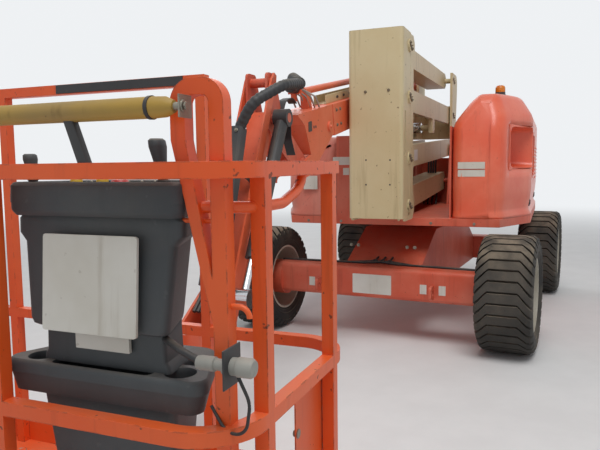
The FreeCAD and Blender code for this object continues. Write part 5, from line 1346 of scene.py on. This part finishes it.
make("upper_arm_plate", [plate_on(spot(1.0, y_arm, 2.176), (-1, 0, arm_slope), (0, 0, 1), 0.4, 0.085)],
     blank_plate,
     "upper_arm")
y_link = extent("tower_lower_link")[1][1]
link_slope = (1.507 - 1.387) / (FRONT_PINS - REAR_PINS)
make("lower_link_plate", [plate_on(spot(1.05, y_link, 1.387 + 0.325 * link_slope), (-1, 0, link_slope),
                                   (0, 0, 1), 0.4,
                                   0.085)], blank_plate, "lower_link")
print("keepers, hole_shades, tabs and plates on the tower")

# %% Tower hoses and the tower cylinder's fittings
HOSE_FRONT, HOSE_REAR = FRONT_PINS - 0.12, -0.72


def arm_hoses(body, path, clip_z):
    """Four hoses, two by two along a path of (x, z), with a clip 30 mm long at three places on their arm."""
    bundle = [rod([spot(x, -y, height + z) for x, height in path], 0.009, 0.1)
              for y, z in ((0.108, 0.008), (0.108, 0.028), (0.128, 0.008), (0.128, 0.028))]
    make(body + "_hoses", bundle, hose_rubber, body)
    clips = [block(spot(x - 0.015, -0.142, clip_z(x)[0]),
                   spot(x + 0.015, -0.094, clip_z(x)[1])) for x in (-0.5, 0.1, 0.7)]
    make(body + "_clips", clips, black_steel, body, 0.004)


arm_hoses("upper_arm", [(HOSE_FRONT, 2.172), (0.3, 2.182), (HOSE_REAR, 2.19)], lambda x: (2.164, 2.222))
arm_hoses("lower_arm", [(HOSE_FRONT, 1.055), (HOSE_REAR, 1.152)],
          lambda x: (1.098 - 0.052 * x, 1.16 - 0.052 * x))


def ram_pipe(node, lift, ends=(0.1, 0.86)):
    """A steel pipe with two ports along the lower side of a cylinder that falls towards the front: both stand `lift`
    off the line from the barrel's high rear end to its low front end, at the shares `ends` of that line."""
    low, high = extent(node)
    middle = (low[1] + high[1]) / 2
    start, end = np.array([low[0], middle, high[2]]), np.array([high[0], middle, low[2]])
    normal = np.cross((end - start) / np.linalg.norm(end - start), -ACROSS)
    a, b = start + (end - start) * ends[0], start + (end - start) * ends[1]
    pipe = rod([a + normal * (lift - 0.012), a + normal * (lift + 0.012), b + normal * (lift + 0.012),
                b + normal * (lift - 0.012)], 0.006, 0.016)
    port = [(0.013, -0.02), (0.013, 0.004), (0.009, 0.006), (0.009, 0.014), (0.001, 0.014)]
    ports = [turned(port, place + normal * lift, normal, 6) for place in (a, b)]
    make(node + "_pipe", [pipe] + ports, zinc, node)


ram_pipe("main_cylinder", 0.05)
print("hoses on both tower arms and the main cylinder's pipe")

# %% The hose sleeve and guards of the jib
def corrugated(corners, radius, ridges, bend=0.12, count=22, steps=10):
    """A ribbed sleeve: the circle carried along the path swells and shrinks in waves along its length."""
    path = arc_path(corners, bend, steps)
    length = np.concatenate([[0], np.cumsum(np.linalg.norm(np.diff(path, axis=0), axis=1))])
    fine = np.linspace(0, length[-1], ridges * 4 + 1)
    path = np.stack([np.interp(fine, length, path[:, k]) for k in range(3)], 1)
    for _ in range(4):
        path[1:-1] = (path[:-2] + path[2:]) / 2
    points, faces = sweep(path, circle(1.0, count), (0.1, 1, 0.05))
    rings = points.reshape(len(path), count, 3)
    swell = radius * (1 + 0.05 * np.sin(np.arange(len(path)) * math.pi / 2))
    rings = path[:, None] + (rings - path[:, None]) * swell[:, None, None]
    return rings.reshape(-1, 3), faces


def bend_between(name, shapes, material, first, second, start, end):
    """A piece that bends between two bodies joined by one joint."""
    piece = make(name, shapes, material, first)
    piece.parent = None
    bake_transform(piece, first, second, start, end)
    return piece


JIB_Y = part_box("jib_arm")[0][1] / 2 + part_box("jib_arm")[1][1] / 2
CLAMP = spot(2.29, JIB_Y, 1.815)
NEAR = JIB_Y + 0.212
CROSS = spot(2.70, NEAR, 1.775)
GUARD_TOP = spot(3.02, JIB_Y, 1.56)
GUARD_END = spot(3.315, JIB_Y, 0.86)
OVER = spot(3.055, JIB_Y + 0.1, 1.65)
upper_hoses = [CLAMP, spot(2.48, JIB_Y + 0.08, 1.84), CROSS]
lower_hoses = [CROSS, spot(2.92, NEAR, 1.745), OVER, GUARD_TOP + (0.03, 0, -0.08), GUARD_END]
bend_between("hose_sleeve_upper", [corrugated(upper_hoses, 0.031, 24)], hose_rubber, "fly_boom", "jib_base",
             CLAMP + (0.06, 0, 0),
             CROSS - (0.03, 0, 0))
bend_between("hose_sleeve_lower", [corrugated(lower_hoses, 0.027, 46)], hose_rubber, "jib_base", "jib_arm",
             CROSS + (0.02, 0, 0),
             GUARD_TOP)
tail = [GUARD_END + (-0.01, 0, 0.03), spot(3.38, JIB_Y, 0.74), spot(3.44, JIB_Y, 0.69)]
bend_between("hose_tail",
             [rod([p + (0, dy, 0) for p in np.array(tail)], 0.009, 0.06) for dy in (-0.02, 0.0, 0.02)],
             hose_rubber, "jib_arm", "jib_end", GUARD_END, spot(3.4, JIB_Y, 0.72))

jib_dir = np.array([math.cos(math.radians(65)), 0, -math.sin(math.radians(65))])
jib_out = np.array([-jib_dir[2], 0, jib_dir[0]])
jib_pin = spot(2.745, JIB_Y, 1.595)


def on_jib(along, out, side=0.0):
    """A place on the jib: along it from its pin, out from its centre line on the upper side, and sideways."""
    return jib_pin + jib_dir * along + jib_out * out + np.array([0, side, 0])


HALF = 0.056
profile = [(-HALF, -0.05), (-HALF, 0), (-HALF + 0.012, 0.012), (HALF - 0.012, 0.012), (HALF, 0), (HALF, -0.05),
           (HALF - 0.003, -0.05), (HALF - 0.003, -0.001), (HALF - 0.013, 0.009), (0.013 - HALF, 0.009),
           (0.003 - HALF, -0.001), (0.003 - HALF, -0.05)]
guard = sweep([on_jib(0.19, 0.27), on_jib(0.32, 0.255), on_jib(0.52, 0.235), on_jib(0.98, 0.2)], profile,
              jib_out)
legs = [slab([on_jib(u, 0.046, s), on_jib(u + 0.05, 0.046, s), on_jib(u + 0.045, n, s),
              on_jib(u + 0.005, n, s)],
             (0, 0.004, 0)) for u, n in ((0.36, 0.24), (0.86, 0.2)) for s in (-0.05, 0.046)]
make("jib_hose_guard", [guard] + legs, black_steel, "jib_arm", 0.0015)
places = [on_jib(0.215, 0.282, s) for s in (-0.03, 0.03)] + [on_jib(0.94, 0.216, s) for s in (-0.03, 0.03)]
make("jib_guard_bolts", washer_row(places, jib_out, size=0.007), zinc, "jib_arm")
make("jib_pin_keeper", keeper(jib_pin - (0, 0.085, 0), -1), pin_steel, "jib_base", 0.001)

cover = [spot(2.44, 0, 1.70), spot(2.5, 0, 1.728), spot(2.6, 0, 1.7), spot(2.66, 0, 1.6), spot(2.655, 0, 1.49),
         spot(2.6, 0, 1.40)]
cover = [point + (0, JIB_Y + 0.088, 0) for point in cover]
make("nose_flap", [sweep(arc_path(cover, 0.08, 5),
                         [(0, -0.0022), (0.052, -0.0022), (0.052, 0.0022), (0, 0.0022)],
                         (0, 0, 1))], hose_rubber, "jib_base", 0.0008)
print("sleeve, guard and flap at the jib")

# %% Clamp, pale hoses, painted shade in the tray's holes and the nose's openings, and nose bolts
clamp = [turned([(0.036, -0.05), (0.0385, -0.046), (0.0385, -0.02), (0.036, -0.018), (0.036, 0.0),
                 (0.039, 0.004),
                 (0.039, 0.03), (0.03, 0.036), (0.001, 0.036)], CLAMP, (-1, 0, 0.03), 32)]
make("sleeve_clamp", clamp, black_steel, "fly_boom")
shapes = []
for k in range(6):
    angle = 2 * math.pi * k / 6 + 0.3
    dy, dz = 0.02 * math.cos(angle), 0.018 * math.sin(angle)
    low_end = spot(2.03 + 0.012 * k, JIB_Y + 0.075 - 0.028 * k, 1.712)
    shapes.append(rod([CLAMP + (-0.02, dy, dz), CLAMP + (-0.08, dy * 1.3, dz - 0.01), low_end + (0.07, 0, 0.06),
                       low_end],
                      0.0055, 0.05, 10))
make("nose_hoses", shapes, pale_hose, "fly_boom")
bracket = [slab([spot(2.16, JIB_Y - 0.03, 1.74), spot(2.25, JIB_Y - 0.03, 1.745),
                 spot(2.262, JIB_Y - 0.03, 1.85),
                 spot(2.19, JIB_Y - 0.03, 1.86)], (0, 0.006, 0)),
           slab([spot(2.255, JIB_Y - 0.045, 1.775), spot(2.255, JIB_Y + 0.045, 1.775),
                 spot(2.255, JIB_Y + 0.045, 1.855),
                 spot(2.255, JIB_Y - 0.045, 1.855)], (0.006, 0, 0.001))]
make("sleeve_bracket", bracket, boom_paint, "fly_boom", 0.0015)


def on_boom(along, up, side=0.0):
    """A place on the main boom: along it from its pivot, up from its centre line, and sideways."""
    return BOOM_PIN * (1, 0, 1) + (0, JIB_Y + side, 0) + ALONG * along + UP * up


tray_half, tray_up = 0.045, 0.105
# Black ovals along the tray stand for its slots: painted shade of the tray's inside seen through them.
holes = []
for along in np.arange(0.2, 2.75, 0.15):
    oval = np.array([on_boom(along + a, tray_up + 0.03 + b, tray_half + 0.0005) for a,
                     b in circle(0.024, 16, 0.42)])
    holes.append(slab(oval, (0, 0.0012, 0)))
make("tray_slots", holes, black_steel, "main_boom")
BOOM_SIDE = 0.1
for name, side in (("boom_pad_bolts", 1), ("boom_pad_bolts_far", -1)):
    places = [on_boom(along, 0.02 + dz, side * BOOM_SIDE) for along in (2.72, 2.8) for dz in (-0.06, 0.04)]
    make(name, washer_row(places, (0, side, 0), size=0.009), zinc, "main_boom")
nose = [turned([(0.034, -0.001), (0.034, 0.01), (0.03, 0.013), (0.012, 0.013), (0.01, 0.02), (0.001, 0.02)],
               on_boom(2.965, -0.03, BOOM_SIDE), (0, 1, 0), 28)]
make("nose_boss", nose, boom_paint, "fly_boom")
# The dark window and two dots stand for openings in the nose: painted shade of the inside seen through them.
window = arc_path([spot(x, JIB_Y + BOOM_SIDE, z) for x,
                   z in ((2.236, 1.613), (2.296, 1.6), (2.292, 1.54), (2.232, 1.55))],
                  0.008, 3, closed=True)
dots = [turned([(0.009, 0), (0.009, 0.0012), (0.001, 0.0012)], spot(x, JIB_Y + BOOM_SIDE, z), (0, 1, 0), 16)
        for x, z in ((2.198, 1.576), (2.165, 1.58))]
make("nose_openings", [slab(window, (0, 0.0012, 0))] + dots, black_steel, "fly_boom")
print("clamp, hoses, slots and nose details")

# %% [markdown]
# ## Chassis and turntable details

# %% Axle plates, valve blocks and turntable edges
chassis_turn = math.atan2(-joints["wheel_fixed_left"]["axis"][0], joints["wheel_fixed_left"]["axis"][1])
rolled = np.array([math.cos(chassis_turn), math.sin(chassis_turn), 0])
sideways = np.array([-rolled[1], rolled[0], 0])


def on_chassis(forward, across, height):
    """A place on the chassis, which stands swung under the turntable."""
    return SWING * (1, 1, 0) + rolled * forward + sideways * across + np.array([0, 0, height])


BEAM_FRONT = 1.28
UPWARD = (0, 0, 1)
plates = [plate_on(on_chassis(BEAM_FRONT, -0.02, 0.43), sideways, UPWARD, 0.31, 0.15)]
for across in (-0.45, 0.45):
    plates += [plate_on(on_chassis(BEAM_FRONT, across + dy, 0.42), sideways, UPWARD, 0.05,
                        0.07) for dy in (-0.07, 0.07)]
plates.append(plate_on(on_chassis(-BEAM_FRONT, 0.0, 0.43), -sideways, UPWARD, 0.3, 0.12))
make("axle_plates", plates, blank_plate, "chassis")
shapes = []
for end in (-1, 1):
    for across in (-0.26, -0.2, 0.2, 0.26):
        place = on_chassis(end * 1.082, across, 0.7)
        shapes += bolt(place, rolled * end, 0.01, 0.009)
make("chassis_bolts", shapes, zinc, "chassis")
shapes = []
for dy in (-0.03, 0.0, 0.03):
    path = [on_chassis(1.0, dy * 2, 0.6), on_chassis(1.09, dy * 2, 0.58), on_chassis(1.13, dy * 2 + 0.2, 0.568),
            on_chassis(1.15, 0.6 + dy, 0.568), on_chassis(1.16, 0.84, 0.55 + dy / 2)]
    shapes.append(rod(path, 0.008, 0.05))
    path = [point + 2 * (-(point - SWING * (1, 1, 0)) @ sideways) * sideways for point in np.array(path)]
    shapes.append(rod(path, 0.008, 0.05))
make("drive_hoses", shapes, hose_rubber, "chassis")
bearing_z = extent("chassis_frame")[1][2]
shapes = []
for k in range(24):
    angle = 2 * math.pi * k / 24
    shapes += bolt(SWING * (1, 1, 0) + (0.372 * math.cos(angle), 0.372 * math.sin(angle), bearing_z - 0.06),
                   (0, 0, 1),
                   0.009, 0.01)
make("bearing_bolts", shapes, zinc, "chassis")
print("axle plates, bolts and drive hoses")

# %% Counterweight, turntable and steering details
weight_low = extent("counterweight")[0]
plates = [plate_on((weight_low[0], 0, 1.15), (0, -1, 0), UPWARD, 0.5, 0.2)]
make("counterweight_plate", plates, blank_plate, "turntable")
places = [(weight_low[0], y, z) for y in (-0.6, 0.6) for z in (1.0, 1.28)]
make("counterweight_bolts", washer_row(places, (-1, 0, 0), size=0.02, reach=0.016), zinc, "turntable")
lamps, lamp_rims = [], []
for y in (-0.72, 0.72):
    centre = np.array([weight_low[0], y, 1.14])
    lamp_rims.append(turned([(0.034, -0.002), (0.034, 0.006), (0.028, 0.008)], centre, (-1, 0, 0), 28))
    lamps.append(turned([(0.029, 0.0), (0.027, 0.007), (0.015, 0.0095), (0.001, 0.01)], centre, (-1, 0, 0), 28))
make("tail_reflectors", lamps, red_plastic, "turntable")
make("tail_reflector_rims", lamp_rims, black_steel, "turntable")
places = [spot(FACE_X, y, 0.89) for y in (-0.7, -0.42, 0.3, 0.62)]
make("turntable_bolts", washer_row(places, (1, 0, 0), size=0.008), zinc, "turntable")
shapes = []
for k, y in enumerate((-0.06, -0.02, 0.02, 0.06)):
    path = [spot(-0.55, y, 0.93), spot(-0.6, y, 1.02), spot(-0.66, y * 0.6, 1.22), spot(-0.7, y * 0.6, 1.5)]
    shapes.append(rod(path, 0.01, 0.08))
make("riser_hoses", shapes, hose_rubber, "turntable")
block_at = spot(0.55, -0.18, 0.93)
valve = [block(block_at, block_at + (0.24, 0.1, 0.1))]
for k in range(4):
    valve.append(turned([(0.02, -0.002), (0.02, 0.045), (0.012, 0.05), (0.012, 0.06), (0.001, 0.06)],
                        block_at + (0.03 + 0.06 * k, 0.05, 0.1), (0, 0, 1), 20))
make("valve_block", valve, zinc, "turntable", 0.002)
print("rear, turntable and valve details")

# %% [markdown]
# ## The floor and the last line
# A plain pale floor takes the machine's shadow and fades into the backdrop far away, so no horizon shows.

# %% Floor and finish
floor = bpy.data.materials.new("studio_floor")
tree = clear_nodes(floor)
speckle = ramp(tree, noise(tree, add(tree, "TexCoord").outputs["Object"], 3.0, 6), 0.3, 0.7)
tone = mix(tree, speckle, (0.8, 0.79, 0.78, 1), (0.84, 0.83, 0.82, 1))
surface = add(tree, "BsdfPrincipled", {"Base Color": tone, "Roughness": 0.8})
place = add(tree, "TexCoord").outputs["Object"]
distance = add(tree, "VectorMath", {0: place}, operation="LENGTH").outputs["Value"]
backdrop = add(tree, "Emission", {"Color": BACKDROP})
blend = add(tree, "MixShader",
            {0: ramp(tree, distance, 5.0, 17.0), 1: surface.outputs[0], 2: backdrop.outputs[0]})
tree.links.new(blend.outputs[0], add(tree, "OutputMaterial").inputs["Surface"])
reach = 40.0
mesh = bpy.data.meshes.new("studio_floor")
mesh.from_pydata([(-reach, -reach, 0), (reach, -reach, 0), (reach, reach, 0), (-reach, reach, 0)], [],
                 [(0, 1, 2, 3)])
mesh.materials.append(floor)
ground = bpy.data.objects.new("studio_floor", mesh)
scene.collection.objects.link(ground)
ground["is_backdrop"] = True

bpy.context.view_layer.update()
corners = [[list(map(float, corner)) for corner in box] for box in (cad_box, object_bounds())]
print("boxes", np.round(corners, 3).tolist())
